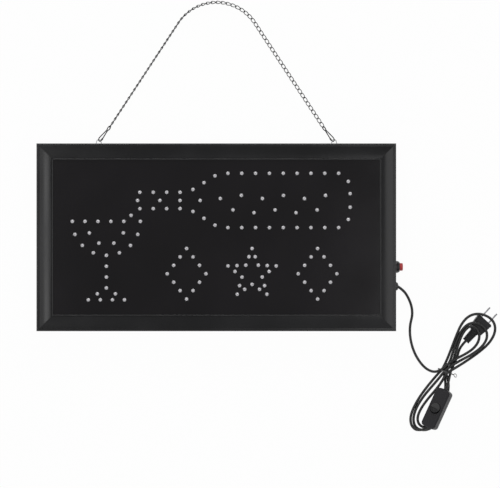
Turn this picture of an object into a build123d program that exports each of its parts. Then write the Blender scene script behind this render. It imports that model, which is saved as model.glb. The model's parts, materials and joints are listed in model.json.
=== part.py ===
"""Framed LED window sign with a hanging chain, a push button and a switched, plugged cord.

The sign lies on its back. X runs to its right, Y to its top edge and +Z out of its face.
The origin is the centre of the back face, and the surface it lies on is Z = 0.
Lengths are in millimetres and angles in degrees.
"""

import os
from math import asin, atan2, cos, degrees, hypot, pi, radians, sin, sqrt, tan

from build123d import *

# ---------------------------------------------------------------- driving dimensions

# Frame, made from one extruded section
sign_width = 482.6
sign_height = 252.0
sign_depth = 25.0
rail_face = 22.0  # width of the moulding seen from the front
rail_wall = 1.6
rim_width = 4.2
rim_round = 1.9
rim_step = 1.2
slope_fall = 3.8
slope_hollow = 0.5
quirk_width = 0.8  # shadow groove beside the bead
quirk_depth = 0.7
bead_radius = 1.0
flange_reach = 12.0  # rear flange, measured from the outer face
hook_setback = 10.6  # outer face of the hook that holds the front panel
hook_reach = 18.0

# Panels
front_panel_thickness = 2.0
front_panel_recess = 7.0  # from the rim down to the panel
back_panel_thickness = 2.0
panel_clearance = 0.1
panel_edge_clearance = 0.4

# Corner keys and their screws
key_leg = 32.0
key_width = 8.0
key_height = 7.0
screw_shank = 3.0
screw_head = 5.6
screw_head_depth = 1.4
screw_length = 8.0
screw_clearance = 0.1
key_screw_setback = 24.0  # along the rail, from the outer corner

# LEDs
led_diameter = 5.0
led_rise = 3.2
led_dome = 1.6
led_taper = 38.0
small_round_sides = 6  # facets of the small round pieces that repeat

glass_x = -147.8
glass_rim_y = 21.4
glass_bowl_radius = 45.7
glass_bowl_leds = 9
glass_rim_pitch = 17.4
glass_stem_pitch = 14.6
glass_foot_drop = 105.4
glass_foot_pitch = 16.2
bottle_axis_y = 49.5
bottle_radius = 36.5
bottle_body_start = 15.5
bottle_body_pitch = 18.6
bottle_body_leds = 9
bottle_neck_radius = 11.0
bottle_neck_start = -102.8
bottle_neck_pitch = 18.0
bottle_neck_leds = 4
motif_y = -49.0
motif_pitch = 88.0
motif_middle_x = 48.0
star_radius = 34.0
star_waist = 0.42
diamond_half_width = 26.0
diamond_half_height = 34.0
diamond_edge_leds = 3

# Fittings on the right-hand wall
fitting_height = 9.1
button_y = -39.9
bezel_diameter = 15.4
bezel_nose_diameter = 12.4
bezel_length = 5.5
bezel_rim = 2.6  # depth of the cap's recess
barrel_diameter = 7.0
barrel_bore = 4.4
switch_case_diameter = 10.2
switch_case_length = 13.0
cap_diameter = 10.4
cap_length = 4.3
cap_gap = 0.2
cap_clearance = 0.25
cap_chamfer = 0.7
stem_depth = 6.0
stem_diameter = 4.2
button_travel = 2.0
running_clearance = 0.1
gland_y = -66.1
gland_diameter = 11.8
gland_rise = 3.0
gland_shank_diameter = 8.0
gland_shank_length = 7.0
gland_chamfer = 1.4
cord_diameter = 3.6

# Control board, behind the bottom right-hand corner of the face
board_x = 198.0
board_y = -66.0
board_width = 36.0
board_length = 58.0
board_thickness = 1.6
standoff_height = 3.6
standoff_diameter = 6.0
board_hole_inset = 4.5
board_screw = 2.6
board_screw_head = 4.6
board_screw_head_height = 1.6
standoff_screw_depth = 3.0
capacitor_length = 18.0
capacitor_width = 10.0
capacitor_height = 5.2
capacitor_corner = 1.0
capacitor_setback = 9.0
can_diameter = 5.4
can_length = 11.0
can_shift = 0.0
can_setback = -3.0
chip_length = 10.0
chip_width = 6.2
chip_height = 1.8
chip_shift = -9.0
chip_setback = 16.0
terminal_length = 11.0
terminal_width = 8.0
terminal_height = 5.2
terminal_shift = 4.0
terminal_setback = 21.5
terminal_hole = 2.4
diode_diameter = 2.6
diode_length = 5.2
diode_pitch = 3.6
diode_shift = 5.0
diode_setback = 12.0
resistor_diameter = 2.4
resistor_length = 6.4
resistor_pitch = 4.0
resistor_setback = 21.0

# Hanging bails, snap clips and chain
bail_x = 158.6
bail_wire = 0.9
bail_foot = 3.0
bail_base = 8.4
bail_crown = 4.6
bail_height = 12.5  # of its pivot above the back face
bail_arm = 9.12
bail_droop = 30.0
bail_swing = 35.0  # either side of straight out
slot_clearance = 0.35
clip_wire = 1.1
clip_length = 25.6
clip_belly = 2.95
clip_waist = 0.75
clip_eye = 2.0
clip_azimuth = 53.0  # of the left clip, and the right one mirrors it
clip_shift = 1.0  # along the bail's crown, towards the middle of the sign
clip_roll_left = -45.0
clip_roll_right = 45.0
clip_offset_left = -0.1
clip_offset_right = 0.5
clip_hook_gap = 1.7
chain_wire = 0.8  # side of the links' flattened wire
chain_nominal_pitch = 6.7
chain_slack = 0.8
link_half_width = 2.1
link_twist = -45.0  # either end against the middle
link_point = 1.0
crown_radius = 62.0
crown_top_y = 317.5  # of the chain's crown
eye_height = 2.1
eye_gap = 0.7
chain_lift = 0.12
side_links = 24

# Inline switch
switch_x = 297.2
switch_y = -231.1
switch_azimuth = 65.6
switch_roll = 28.0
switch_length = 57.0
switch_width = 21.0
switch_base_height = 6.4
switch_cover_height = 7.8
switch_wall = 1.7
switch_corner = 4.5
switch_end_bulge = 2.5
switch_chamfer = 1.6
rocker_diameter = 13.4
rocker_well = 15.2
rocker_rise = 2.0
rocker_depth = 4.6
rocker_pivot_depth = 2.4
rocker_tilt = 8.0
rocker_dish = 1.0
collar_gap = 1.2
pin_seat = 1.4
pin_diameter = 1.6
contact_thickness = 0.6
contact_width = 5.0
contact_height = 5.6
contact_spacing = 9.0
switch_boss_setback = 8.0
switch_boss_aside = 5.4
switch_cavity_length = 30.0
switch_screw = 2.2
switch_screw_head = 4.2
switch_screw_recess = 1.8
switch_screw_length = 9.0
entry_clearance = 0.2

# Plug
plug_x = 336.1
plug_y = -140.0
plug_azimuth = 47.6
relief_length = 17.0
relief_start_width = 10.6
relief_end_width = 13.6
relief_height = 9.6
relief_ribs = 5
relief_rib_gap = 1.3
relief_rib_depth = 1.2
plug_length = 22.0
plug_back_width = 18.4
plug_front_width = 24.0
plug_height = 15.0
plug_corner = 2.5
plug_chamfer = 1.5
grip_ribs = 3
grip_pitch = 2.4
grip_width = 1.0
grip_depth = 0.6
blade_length = 16.5
blade_root = 6.0
blade_width = 6.35
blade_thickness = 1.5
blade_spacing = 12.7
blade_hole = 3.2
blade_tip = 1.2
blade_hole_setback = 4.0
blade_clearance = 0.05

# Tied hank of cord: an upper coil over the plug and a lower coil beside the switch
neck_x = 312.5
neck_y = -178.7
neck_azimuth = 54.8
neck_length = 12.0
neck_width = 13.0
neck_height = 6.4
neck_base = 0.8
coil_outset = 2.0
coil_inset = 9.0
coil_height = 7.4
coil_lift_start = 41.0
coil_lift_end = 57.0
coil_lift = 11.8
coil_top = 20.5
coil_clearance = 0.3
tie_width = 2.4
tie_thickness = 0.7
tie_tail = 9.0

# ---------------------------------------------------------------- derived positions

right_wall = sign_width / 2
top_wall = sign_height / 2
panel_front = sign_depth - front_panel_recess
groove_floor = panel_front - front_panel_thickness - 2 * panel_clearance
hook_floor = groove_floor - rail_wall * 0.75
slope_top = sign_depth - rim_step
slope_bottom = slope_top - slope_fall
bead_start = rail_face - 2 * bead_radius
quirk_start = bead_start - quirk_width
groove_root = hook_setback + rail_wall
flange_top = back_panel_thickness + rail_wall
panel_back = panel_front - panel_clearance - front_panel_thickness

os.makedirs("parts", exist_ok=True)


def save(builder, name):
    """Label one finished piece and write it under the same name."""
    builder.part.label = name
    export_step(builder.part, f"parts/{name}.step")


def polygon(diameter, clearance=0.0, mode=Mode.ADD):
    """A small round outline drawn with few sides, in the open sketch."""
    RegularPolygon(diameter / 2 + clearance, small_round_sides, mode=mode)


# ---------------------------------------------------------------- frame rails


# Section of the moulding: x runs from the outer face inwards, y from the back to the front
with BuildSketch() as rail_section:
    with BuildLine():
        Line((0, 0), (0, sign_depth - rim_round))
        ThreePointArc(
            (0, sign_depth - rim_round),
            (rim_round * (1 - sqrt(0.5)), sign_depth - rim_round * (1 - sqrt(0.5))),
            (rim_round, sign_depth),
        )
        Polyline((rim_round, sign_depth), (rim_width, sign_depth), (rim_width, slope_top))
        ThreePointArc(
            (rim_width, slope_top),
            ((rim_width + quirk_start) / 2, (slope_top + slope_bottom) / 2 - slope_hollow),
            (quirk_start, slope_bottom),
        )
        Polyline(
            (quirk_start, slope_bottom),
            (quirk_start, slope_bottom - quirk_depth),
            (bead_start, slope_bottom - quirk_depth),
            (bead_start, slope_bottom - bead_radius),
        )
        ThreePointArc(
            (bead_start, slope_bottom - bead_radius),
            (bead_start + bead_radius, slope_bottom),
            (rail_face, slope_bottom - bead_radius),
        )
        Polyline(
            (rail_face, slope_bottom - bead_radius),
            (rail_face, panel_front),
            (groove_root, panel_front),
            (groove_root, groove_floor),
            (hook_reach, groove_floor),
            (hook_reach, hook_floor),
            (hook_setback, hook_floor),
            (hook_setback, slope_bottom),
            (rim_width, slope_top - rail_wall),
            (rail_wall, slope_top - rail_wall),
            (rail_wall, flange_top),
            (flange_reach, flange_top),
            (flange_reach, back_panel_thickness),
            (rail_wall, back_panel_thickness),
            (rail_wall, 0),
            (0, 0),
        )
    make_face()

back_inset = rail_wall + panel_edge_clearance
key_screw_line = back_inset + key_width / 2
screw_points = [
    (sx * (right_wall - along), sy * (top_wall - across))
    for sx in (-1, 1)
    for sy in (-1, 1)
    for along, across in (
        (key_screw_setback, key_screw_line),
        (key_screw_line, key_screw_setback),
    )
]
bail_centres = [(-bail_x, "left"), (bail_x, "right")]
bail_pivot_y = top_wall - rail_wall - bail_wire / 2 - slot_clearance
slot_reach = top_wall - bail_pivot_y
slot_height = 2 * slot_reach * tan(radians(bail_swing)) + 2 * bail_wire
bail_taper = (bail_base - bail_crown) / (2 * bail_arm)
slot_drift = bail_taper * slot_reach / cos(radians(bail_swing))
slot_width = bail_wire + 2 * slot_clearance + slot_drift
slot_offset = (bail_base - slot_drift) / 2
slot_x = [sx * bail_x + foot * slot_offset for sx in (-1, 1) for foot in (-1, 1)]
rails = (
    ("frame_rail_top", sign_width, top_wall, 0),
    ("frame_rail_left", sign_height, right_wall, 90),
    ("frame_rail_bottom", sign_width, top_wall, 180),
    ("frame_rail_right", sign_height, right_wall, 270),
)
for name, length, reach, turn in rails:
    outward = Plane.XY.rotated((0, 0, turn))
    section_plane = Plane(
        origin=outward.from_local_coords((length / 2, reach, 0)),
        x_dir=-outward.y_dir,
        z_dir=-outward.x_dir,
    )
    with BuildPart() as rail:
        with BuildSketch(section_plane):
            add(rail_section.sketch)
        extrude(amount=length)
        with BuildSketch(outward):
            with BuildLine():
                Polyline(
                    (-length / 2, reach),
                    (length / 2, reach),
                    (length / 2 - 2 * rail_face, reach - 2 * rail_face),
                    (2 * rail_face - length / 2, reach - 2 * rail_face),
                    close=True,
                )
            make_face()
        extrude(amount=sign_depth, mode=Mode.INTERSECT)
        with BuildSketch(Plane.XY):
            with Locations(*screw_points):
                polygon(screw_shank, screw_clearance)
        extrude(amount=flange_top, mode=Mode.SUBTRACT)
        if name == "frame_rail_top":
            with BuildSketch(Plane.XZ.offset(-top_wall)):
                with Locations(*[(x, bail_height) for x in slot_x]):
                    Rectangle(slot_width, slot_height)
            extrude(amount=rail_wall, mode=Mode.SUBTRACT)
        if name == "frame_rail_right":
            with BuildSketch(Plane.YZ.offset(right_wall)):
                with Locations((button_y, fitting_height)):
                    Circle(barrel_diameter / 2 + running_clearance)
                with Locations((gland_y, fitting_height)):
                    Circle(gland_shank_diameter / 2 + running_clearance)
            extrude(amount=-rail_wall, mode=Mode.SUBTRACT)
    save(rail, name)

# Corner keys: one L in each corner, standing on the rear flanges
with BuildPart() as corner_keys:
    for sx in (-1, 1):
        for sy in (-1, 1):
            corner_x = sx * (right_wall - back_inset)
            corner_y = sy * (top_wall - back_inset)
            with BuildSketch(Plane.XY.offset(flange_top)):
                with BuildLine():
                    Polyline(
                        (corner_x, corner_y),
                        (corner_x - sx * key_leg, corner_y),
                        (corner_x - sx * key_leg, corner_y - sy * key_width),
                        (corner_x - sx * key_width, corner_y - sy * key_width),
                        (corner_x - sx * key_width, corner_y - sy * key_leg),
                        (corner_x, corner_y - sy * key_leg),
                        close=True,
                    )
                make_face()
            extrude(amount=key_height)
    with BuildSketch(Plane.XY.offset(flange_top)):
        with Locations(*screw_points):
            polygon(screw_shank, running_clearance / 2)
    extrude(amount=key_height, mode=Mode.SUBTRACT)
save(corner_keys, "corner_keys")


def countersunk(head, shank, head_depth, length, clearance=0.0):
    """A countersunk screw, or the space for one, with its head on z = 0 and its point up."""
    with BuildPart() as screw:
        with BuildSketch(Plane.XY):
            polygon(head, clearance)
        with BuildSketch(Plane.XY.offset(head_depth)):
            polygon(shank, clearance)
        loft()
        with BuildSketch(Plane.XY.offset(head_depth)):
            polygon(shank, clearance)
        extrude(amount=length - head_depth)
    return screw.part


with BuildPart() as back_panel_screws:
    with Locations(*screw_points):
        add(countersunk(screw_head, screw_shank, screw_head_depth, screw_length))
save(back_panel_screws, "back_panel_screws")

# ---------------------------------------------------------------- panels

standoff_points = [
    (board_x + sx * (board_width / 2 - board_hole_inset),
     board_y + sy * (board_length / 2 - board_hole_inset))
    for sx in (-1, 1)
    for sy in (-1, 1)
]
with BuildPart() as back_panel:
    with BuildSketch(Plane.XY):
        Rectangle(sign_width - 2 * back_inset, sign_height - 2 * back_inset)
    extrude(amount=back_panel_thickness)
    with Locations(*screw_points):
        add(
            countersunk(
                screw_head, screw_shank, screw_head_depth, screw_length, screw_clearance
            ),
            mode=Mode.SUBTRACT,
        )
save(back_panel, "back_panel")


def glass_points():
    """The stemmed glass: bowl, rim, fizz, stem and foot."""
    bowl = [
        (
            glass_x + glass_bowl_radius * cos(pi + pi * i / (glass_bowl_leds - 1)),
            glass_rim_y + glass_bowl_radius * sin(pi + pi * i / (glass_bowl_leds - 1)),
        )
        for i in range(glass_bowl_leds)
    ]
    rim = [(glass_x + glass_rim_pitch * (i - 1.65), glass_rim_y) for i in range(4)]
    fizz = [
        (glass_x + sx * glass_bowl_radius * 0.5, glass_rim_y - glass_bowl_radius * 0.34)
        for sx in (-1, 1)
    ] + [
        (glass_x + sx * glass_bowl_radius * 0.22, glass_rim_y - glass_bowl_radius * 0.64)
        for sx in (-1, 1)
    ]
    stem = [
        (glass_x, glass_rim_y - glass_bowl_radius - glass_stem_pitch * (i + 1))
        for i in range(3)
    ]
    foot_y = glass_rim_y - glass_foot_drop
    foot = [(glass_x + glass_foot_pitch * (i - 1.5), foot_y) for i in range(4)]
    ankle = [(glass_x + sx * 0.75 * glass_foot_pitch, foot_y + 0.5 * glass_foot_pitch)
             for sx in (-1, 1)]
    splash = [(glass_x + 2.05 * glass_foot_pitch, glass_rim_y + 0.5 * glass_foot_pitch)]
    return bowl + rim + fizz + stem + foot + ankle + splash


def bottle_points():
    """The bottle, lying with its mouth over the glass."""
    last_x = bottle_body_start + bottle_body_pitch * (bottle_body_leds - 1)
    body = [
        (bottle_body_start + bottle_body_pitch * i, bottle_axis_y + side * bottle_radius)
        for i in range(bottle_body_leds)
        for side in (-1, 1)
    ]
    base = [
        (last_x + 0.7 * bottle_body_pitch, bottle_axis_y + side * 0.7 * bottle_radius)
        for side in (-1, 1)
    ] + [
        (last_x + 0.83 * bottle_body_pitch, bottle_axis_y + side * 0.25 * bottle_radius)
        for side in (-1, 1)
    ]
    neck_end = bottle_neck_start + bottle_neck_pitch * (bottle_neck_leds - 1)
    neck = [
        (bottle_neck_start + bottle_neck_pitch * i, bottle_axis_y + side * bottle_neck_radius)
        for i in range(bottle_neck_leds)
        for side in (-1, 1)
    ]
    shoulder = [
        (
            neck_end + (bottle_body_start - neck_end) * part,
            bottle_axis_y + side * (bottle_neck_radius + (bottle_radius - bottle_neck_radius) * rise),
        )
        for part, rise in ((0.27, 0.15), (0.5, 0.51), (0.73, 0.87))
        for side in (-1, 1)
    ]
    middle = [
        (bottle_neck_start + bottle_neck_pitch * 1.5 * (i + 1), bottle_axis_y)
        for i in range(3)
    ] + [(bottle_neck_start - 0.17 * bottle_neck_pitch, bottle_axis_y)]
    liquid = [
        (
            bottle_body_start + bottle_body_pitch * 1.52 * (i - 0.36),
            bottle_axis_y + 4.7 + 2.1 * (-1) ** (i + 1),
        )
        for i in range(6)
    ] + [
        (
            bottle_body_start + bottle_body_pitch * 1.52 * (i + 0.24),
            bottle_axis_y - 14.6 + 1.9 * (-1) ** i,
        )
        for i in range(5)
    ]
    return body + base + neck + shoulder + middle + liquid


def star_points(centre_x):
    """A five-pointed star: its corners and the middles of its edges."""
    corners = [
        Vector(centre_x, motif_y)
        + Vector(0, star_radius * (1 if i % 2 == 0 else star_waist)).rotate(Axis.Z, 36 * i)
        for i in range(10)
    ]
    middles = [(corners[i] + corners[(i + 1) % 10]) * 0.5 for i in range(10)]
    return [(point.X, point.Y) for point in corners + middles]


def diamond_points(centre_x):
    """A diamond with evenly spaced lamps on each edge."""
    tips = (
        (diamond_half_width, 0),
        (0, diamond_half_height),
        (-diamond_half_width, 0),
        (0, -diamond_half_height),
    )
    points = []
    for i in range(4):
        start = Vector(*tips[i])
        end = Vector(*tips[(i + 1) % 4])
        for j in range(diamond_edge_leds):
            point = start + (end - start) * (j / diamond_edge_leds)
            points.append((centre_x + point.X, motif_y + point.Y))
    return points


led_groups = {
    "leds_glass": glass_points(),
    "leds_bottle": bottle_points(),
    "leds_motifs": diamond_points(motif_middle_x - motif_pitch)
    + star_points(motif_middle_x)
    + diamond_points(motif_middle_x + motif_pitch),
}
panel_inset = groove_root + panel_edge_clearance
with BuildPart() as front_panel:
    with BuildSketch(Plane.XY.offset(panel_back)):
        Rectangle(sign_width - 2 * panel_inset, sign_height - 2 * panel_inset)
    extrude(amount=front_panel_thickness)
save(front_panel, "front_panel")

# Each lens stands on the panel's face and closes to a point over its short barrel
panel_face = panel_back + front_panel_thickness
with BuildPart() as led:
    with BuildSketch(Plane.XY.offset(panel_face)):
        polygon(led_diameter)
    extrude(amount=led_rise - led_dome)
    with BuildSketch(Plane.XY.offset(panel_face + led_rise - led_dome)):
        polygon(led_diameter)
    extrude(amount=led_dome, taper=led_taper)
for name, points in led_groups.items():
    with BuildPart() as leds:
        with Locations(*points):
            add(led.part)
    save(leds, name)

# ---------------------------------------------------------------- push button and cord gland

button_plane = Plane(
    origin=(right_wall, button_y, fitting_height), x_dir=(0, 1, 0), z_dir=(1, 0, 0)
)
gland_plane = Plane(
    origin=(right_wall, gland_y, fitting_height), x_dir=(0, 1, 0), z_dir=(1, 0, 0)
)
inner_face = -rail_wall
pocket_depth = stem_depth + button_travel + cap_gap

with BuildPart() as button_case:
    with BuildSketch(button_plane.offset(inner_face)):
        Circle(switch_case_diameter / 2)
    extrude(amount=-switch_case_length)
    with BuildSketch(button_plane.offset(inner_face)):
        Circle(barrel_diameter / 2)
    extrude(amount=rail_wall + bezel_length - bezel_rim)
    with BuildSketch(button_plane.offset(bezel_length - bezel_rim)):
        Circle(barrel_bore / 2)
    extrude(amount=-(bezel_length - bezel_rim + pocket_depth), mode=Mode.SUBTRACT)
save(button_case, "button_case")

with BuildPart() as button_bezel:
    with BuildSketch(button_plane):
        Circle(bezel_diameter / 2)
    extrude(amount=bezel_length)
    chamfer(
        button_bezel.edges().filter_by(GeomType.CIRCLE).sort_by(Axis.X)[-1],
        (bezel_diameter - bezel_nose_diameter) / 2,
    )
    with BuildSketch(button_plane):
        Circle(barrel_diameter / 2 + running_clearance)
    extrude(amount=bezel_length - bezel_rim, mode=Mode.SUBTRACT)
    with BuildSketch(button_plane.offset(bezel_length - bezel_rim)):
        Circle(cap_diameter / 2 + cap_clearance)
    extrude(amount=bezel_rim, mode=Mode.SUBTRACT)
save(button_bezel, "button_bezel")

cap_base = bezel_length - bezel_rim + button_travel + cap_gap
with BuildPart() as button_cap:
    with BuildSketch(button_plane.offset(cap_base)):
        Circle(cap_diameter / 2)
    extrude(amount=bezel_length + cap_length - cap_base)
    chamfer(button_cap.edges().filter_by(GeomType.CIRCLE).sort_by(Axis.X)[-1], cap_chamfer)
    with BuildSketch(button_plane.offset(cap_base)):
        Circle(stem_diameter / 2)
    extrude(amount=-(cap_base + stem_depth))
save(button_cap, "button_cap")

with BuildPart() as cord_gland:
    with BuildSketch(gland_plane):
        Circle(gland_diameter / 2)
    extrude(amount=gland_rise)
    chamfer(
        cord_gland.edges().filter_by(GeomType.CIRCLE).sort_by(Axis.X)[-1], gland_chamfer
    )
    with BuildSketch(gland_plane):
        Circle(gland_shank_diameter / 2)
    extrude(amount=-gland_shank_length)
save(cord_gland, "cord_gland")

# ---------------------------------------------------------------- control board

board_floor = back_panel_thickness + standoff_height
board_top = board_floor + board_thickness
with BuildPart() as board_standoffs:
    with BuildSketch(Plane.XY.offset(back_panel_thickness)):
        with Locations(*standoff_points):
            polygon(standoff_diameter)
    extrude(amount=standoff_height)
    with BuildSketch(Plane.XY.offset(board_floor)):
        with Locations(*standoff_points):
            polygon(board_screw, running_clearance / 2)
    extrude(amount=-standoff_screw_depth, mode=Mode.SUBTRACT)
save(board_standoffs, "board_standoffs")

with BuildPart() as control_board:
    with BuildSketch(Plane.XY.offset(board_floor)):
        with Locations((board_x, board_y)):
            Rectangle(board_width, board_length)
        with Locations(*standoff_points):
            polygon(board_screw, screw_clearance, Mode.SUBTRACT)
    extrude(amount=board_thickness)
save(control_board, "control_board")

with BuildPart() as board_screws:
    with BuildSketch(Plane.XY.offset(board_top)):
        with Locations(*standoff_points):
            polygon(board_screw_head)
    extrude(amount=board_screw_head_height)
    with BuildSketch(Plane.XY.offset(board_top)):
        with Locations(*standoff_points):
            polygon(board_screw)
    extrude(amount=-(board_thickness + standoff_screw_depth - running_clearance))
save(board_screws, "board_screws")

with BuildPart() as film_capacitor:
    with BuildSketch(Plane.XY.offset(board_top)):
        with Locations((board_x, board_y - capacitor_setback)):
            RectangleRounded(capacitor_length, capacitor_width, capacitor_corner)
    extrude(amount=capacitor_height)
save(film_capacitor, "film_capacitor")

with BuildPart() as smoothing_capacitor:
    with BuildSketch(
        Plane(
            origin=(board_x - can_length / 2 + can_shift, board_y - can_setback, board_top + can_diameter / 2),
            x_dir=(0, 1, 0),
            z_dir=(1, 0, 0),
        )
    ):
        polygon(can_diameter)
    extrude(amount=can_length)
save(smoothing_capacitor, "smoothing_capacitor")

with BuildPart() as flasher_chip:
    with BuildSketch(Plane.XY.offset(board_top)):
        with Locations((board_x + chip_shift, board_y + chip_setback)):
            Rectangle(chip_width, chip_length)
    extrude(amount=chip_height)
save(flasher_chip, "flasher_chip")

with BuildPart() as terminal_block:
    with BuildSketch(Plane.XY.offset(board_top)):
        with Locations((board_x + terminal_shift, board_y - terminal_setback)):
            Rectangle(terminal_width, terminal_length)
    extrude(amount=terminal_height)
    with BuildSketch(Plane.XY.offset(board_top + terminal_height)):
        with Locations((board_x + terminal_shift, board_y - terminal_setback)):
            with GridLocations(0, terminal_length / 2, 1, 2):
                Rectangle(terminal_hole, terminal_hole)
    extrude(amount=-terminal_height / 2, mode=Mode.SUBTRACT)
save(terminal_block, "terminal_block")


def axial_row(diameter, length, count, pitch, x, y):
    """Axial components lying side by side on the board, each along y."""
    with BuildPart() as row:
        with BuildSketch(Plane.XZ.offset(-(y - length / 2))):
            for i in range(count):
                with Locations((x + pitch * (i - (count - 1) / 2), board_top + diameter / 2)):
                    polygon(diameter)
        extrude(amount=-length)
    return row


save(
    axial_row(diode_diameter, diode_length, 4, diode_pitch, board_x + diode_shift, board_y + diode_setback),
    "rectifier_diodes",
)
save(
    axial_row(
        resistor_diameter, resistor_length, 3, resistor_pitch, board_x + diode_shift, board_y + resistor_setback
    ),
    "dropper_resistors",
)

# ---------------------------------------------------------------- hanging bails


def unit(azimuth, dip=0.0):
    """Unit vector that points along an azimuth and dips below the horizontal."""
    return Vector(
        cos(radians(azimuth)) * cos(radians(dip)),
        sin(radians(azimuth)) * cos(radians(dip)),
        -sin(radians(dip)),
    )


def bent_wire(points, diameter, closed=False):
    """A wire of few-sided section, mitred at each of the points."""
    with BuildPart() as wire:
        with BuildLine() as route:
            Polyline(*points, close=closed)
        path = route.wire()
        with BuildSketch(Plane(path @ 0, z_dir=path % 0)):
            polygon(diameter)
        sweep(path=path, transition=Transition.RIGHT)
    return wire


bail_crown_line = bail_arm * unit(90, bail_droop)
for centre_x, side in bail_centres:
    pivot = Vector(centre_x, bail_pivot_y, bail_height)
    across = Vector(1, 0, 0)
    bail = bent_wire(
        [
            pivot - across * (bail_base / 2 + bail_foot),
            pivot - across * (bail_base / 2),
            pivot - across * (bail_crown / 2) + bail_crown_line,
            pivot + across * (bail_crown / 2) + bail_crown_line,
            pivot + across * (bail_base / 2),
            pivot + across * (bail_base / 2 + bail_foot),
        ],
        bail_wire,
    )
    save(bail, f"hanging_bail_{side}")

# ---------------------------------------------------------------- snap clips

# Half outline of a clip, from its hook end to its eye: places along it and half widths
clip_half = [
    (0, 0),
    (0, 0.48 * clip_belly),
    (0.06 * clip_length, 0.93 * clip_belly),
    (0.16 * clip_length, clip_belly),
    (0.32 * clip_length, 0.93 * clip_belly),
    (0.72 * clip_length, clip_waist),
    (0.82 * clip_length, 0.93 * clip_eye),
    (0.9 * clip_length, clip_eye),
    (clip_length, 0.5 * clip_eye),
]
clip_outline = clip_half + [(s, -u) for s, u in reversed(clip_half[1:])]
clip_reach = clip_length - clip_hook_gap
clip_ends = {}
for mirror_x, side, roll, sideways_shift in (
    (-1, "left", clip_roll_left, clip_offset_left),
    (1, "right", clip_roll_right, clip_offset_right),
):
    hook = Vector(mirror_x * (bail_x - clip_shift), bail_pivot_y, bail_height) + bail_crown_line
    dip = degrees(asin((hook.Z - eye_height) / clip_reach))
    along = unit(90 + mirror_x * (90 - clip_azimuth), dip)
    level = along.cross(Vector(0, 0, 1)).normalized()
    sideways = level.rotate(Axis((0, 0, 0), along), -roll)
    clip = bent_wire(
        [hook + along * (s - clip_hook_gap) + sideways * (u - sideways_shift) for s, u in clip_outline],
        clip_wire,
        closed=True,
    )
    save(clip, f"snap_clip_{side}")
    clip_ends[side] = hook + along * clip_reach

# ---------------------------------------------------------------- hanging chain

# Route of the chain: a straight side, the arc of the crown, a straight side
eye = clip_ends["left"]
crown_y = crown_top_y - crown_radius
eye_distance = hypot(eye.X, crown_y - eye.Y)
side_azimuth = degrees(atan2(crown_y - eye.Y, -eye.X) + asin(crown_radius / eye_distance))
tip_setback = (clip_wire + chain_wire) / 2 + eye_gap
side_length = sqrt(eye_distance**2 - crown_radius**2) + tip_setback
crown_length = radians(2 * side_azimuth) * crown_radius
first_tip = Vector(eye.X, eye.Y) - unit(side_azimuth) * tip_setback
tip_to_tip = 2 * side_length + crown_length
overlap = chain_wire + chain_slack
link_count = round((tip_to_tip - overlap) / chain_nominal_pitch)
chain_pitch = (tip_to_tip - overlap) / link_count
link_half = (chain_pitch + overlap) / 2
print("chain links", link_count, "pitch", round(chain_pitch, 3), "from tip to tip", round(tip_to_tip, 1))


def chain_place(distance):
    """Place and azimuth on the chain's route at a distance from its first tip."""
    if distance < side_length:
        return first_tip + unit(side_azimuth) * distance, side_azimuth
    if distance > side_length + crown_length:
        rest = tip_to_tip - distance
        start = Vector(-first_tip.X, first_tip.Y)
        return start + unit(180 - side_azimuth) * rest, -side_azimuth
    azimuth = side_azimuth - degrees((distance - side_length) / crown_radius)
    return Vector(0, crown_y) + unit(azimuth + 90) * crown_radius, azimuth


def link_point_at(along, aside):
    """Point of a link's centre line, which twists about the link's length."""
    return Vector(along, aside).rotate(Axis.X, link_twist * along / link_half)


link_shoulder = link_half - link_point
link_corners = [
    link_point_at(-link_half, 0),
    link_point_at(-link_shoulder, link_half_width),
    link_point_at(link_shoulder, link_half_width),
    link_point_at(link_half, 0),
    link_point_at(link_shoulder, -link_half_width),
    link_point_at(-link_shoulder, -link_half_width),
]
with BuildPart() as link_side:
    for i in range(4):
        corner = link_corners[i]
        before = (corner - link_corners[i - 1]).normalized()
        after = (link_corners[i + 1] - corner).normalized()
        tangent = (before + after).normalized()
        outwards = corner if i in (0, 3) else Vector(0, corner.Y, corner.Z)
        with BuildSketch(
            Plane(origin=corner, x_dir=outwards - tangent * outwards.dot(tangent), z_dir=tangent)
        ):
            Rectangle(chain_wire, chain_wire)
    loft(ruled=True)
with BuildPart() as link:
    add(link_side.part)
    add(link_side.part.rotate(Axis.Z, 180))

chain_runs = {
    "chain_left": range(side_links),
    "chain_crown": range(side_links, link_count - side_links),
    "chain_right": range(link_count - side_links, link_count),
}
for name, links in chain_runs.items():
    places = []
    for i in links:
        distance = link_half + chain_pitch * i
        point, azimuth = chain_place(distance)
        over_crown = min(1, max(0, (distance - side_length) / crown_length))
        roll = 90 * (1 + over_crown)
        lowest = link.part.rotate(Axis.X, roll).bounding_box().min.Z
        along = unit(azimuth)
        places.append(
            Plane(
                origin=point + Vector(0, 0, chain_lift - lowest),
                x_dir=along,
                z_dir=Vector(0, 0, 1).rotate(Axis((0, 0, 0), along), roll),
            )
        )
    with BuildPart() as run:
        with Locations(*places):
            add(link.part)
    save(run, name)

# ---------------------------------------------------------------- mains cord

loose_points = [
    (right_wall + gland_rise, gland_y, fitting_height),
    (252.4, -71.5, 8.3),
    (259.0, -81.5, 6.0),
    (263.0, -93.5, 3.4),
    (263.4, -106.0, 1.9),
    (260.6, -119.0, 1.8),
    (260.3, -132.5, 1.8),
    (263.5, -147.5, 1.8),
    (269.5, -161.5, 1.8),
    (278.5, -173.5, 1.8),
    (287.0, -179.6, 1.8),
    (295.6, -180.9, 1.8),
    (305.9, -177.6, 1.8),
]
lead_points = [
    (322.6, -160.9, 5.0),
    (325.9, -153.0, 6.6),
    (330.7, -145.9, 7.4),
    (plug_x, plug_y, plug_height / 2),
]


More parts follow.
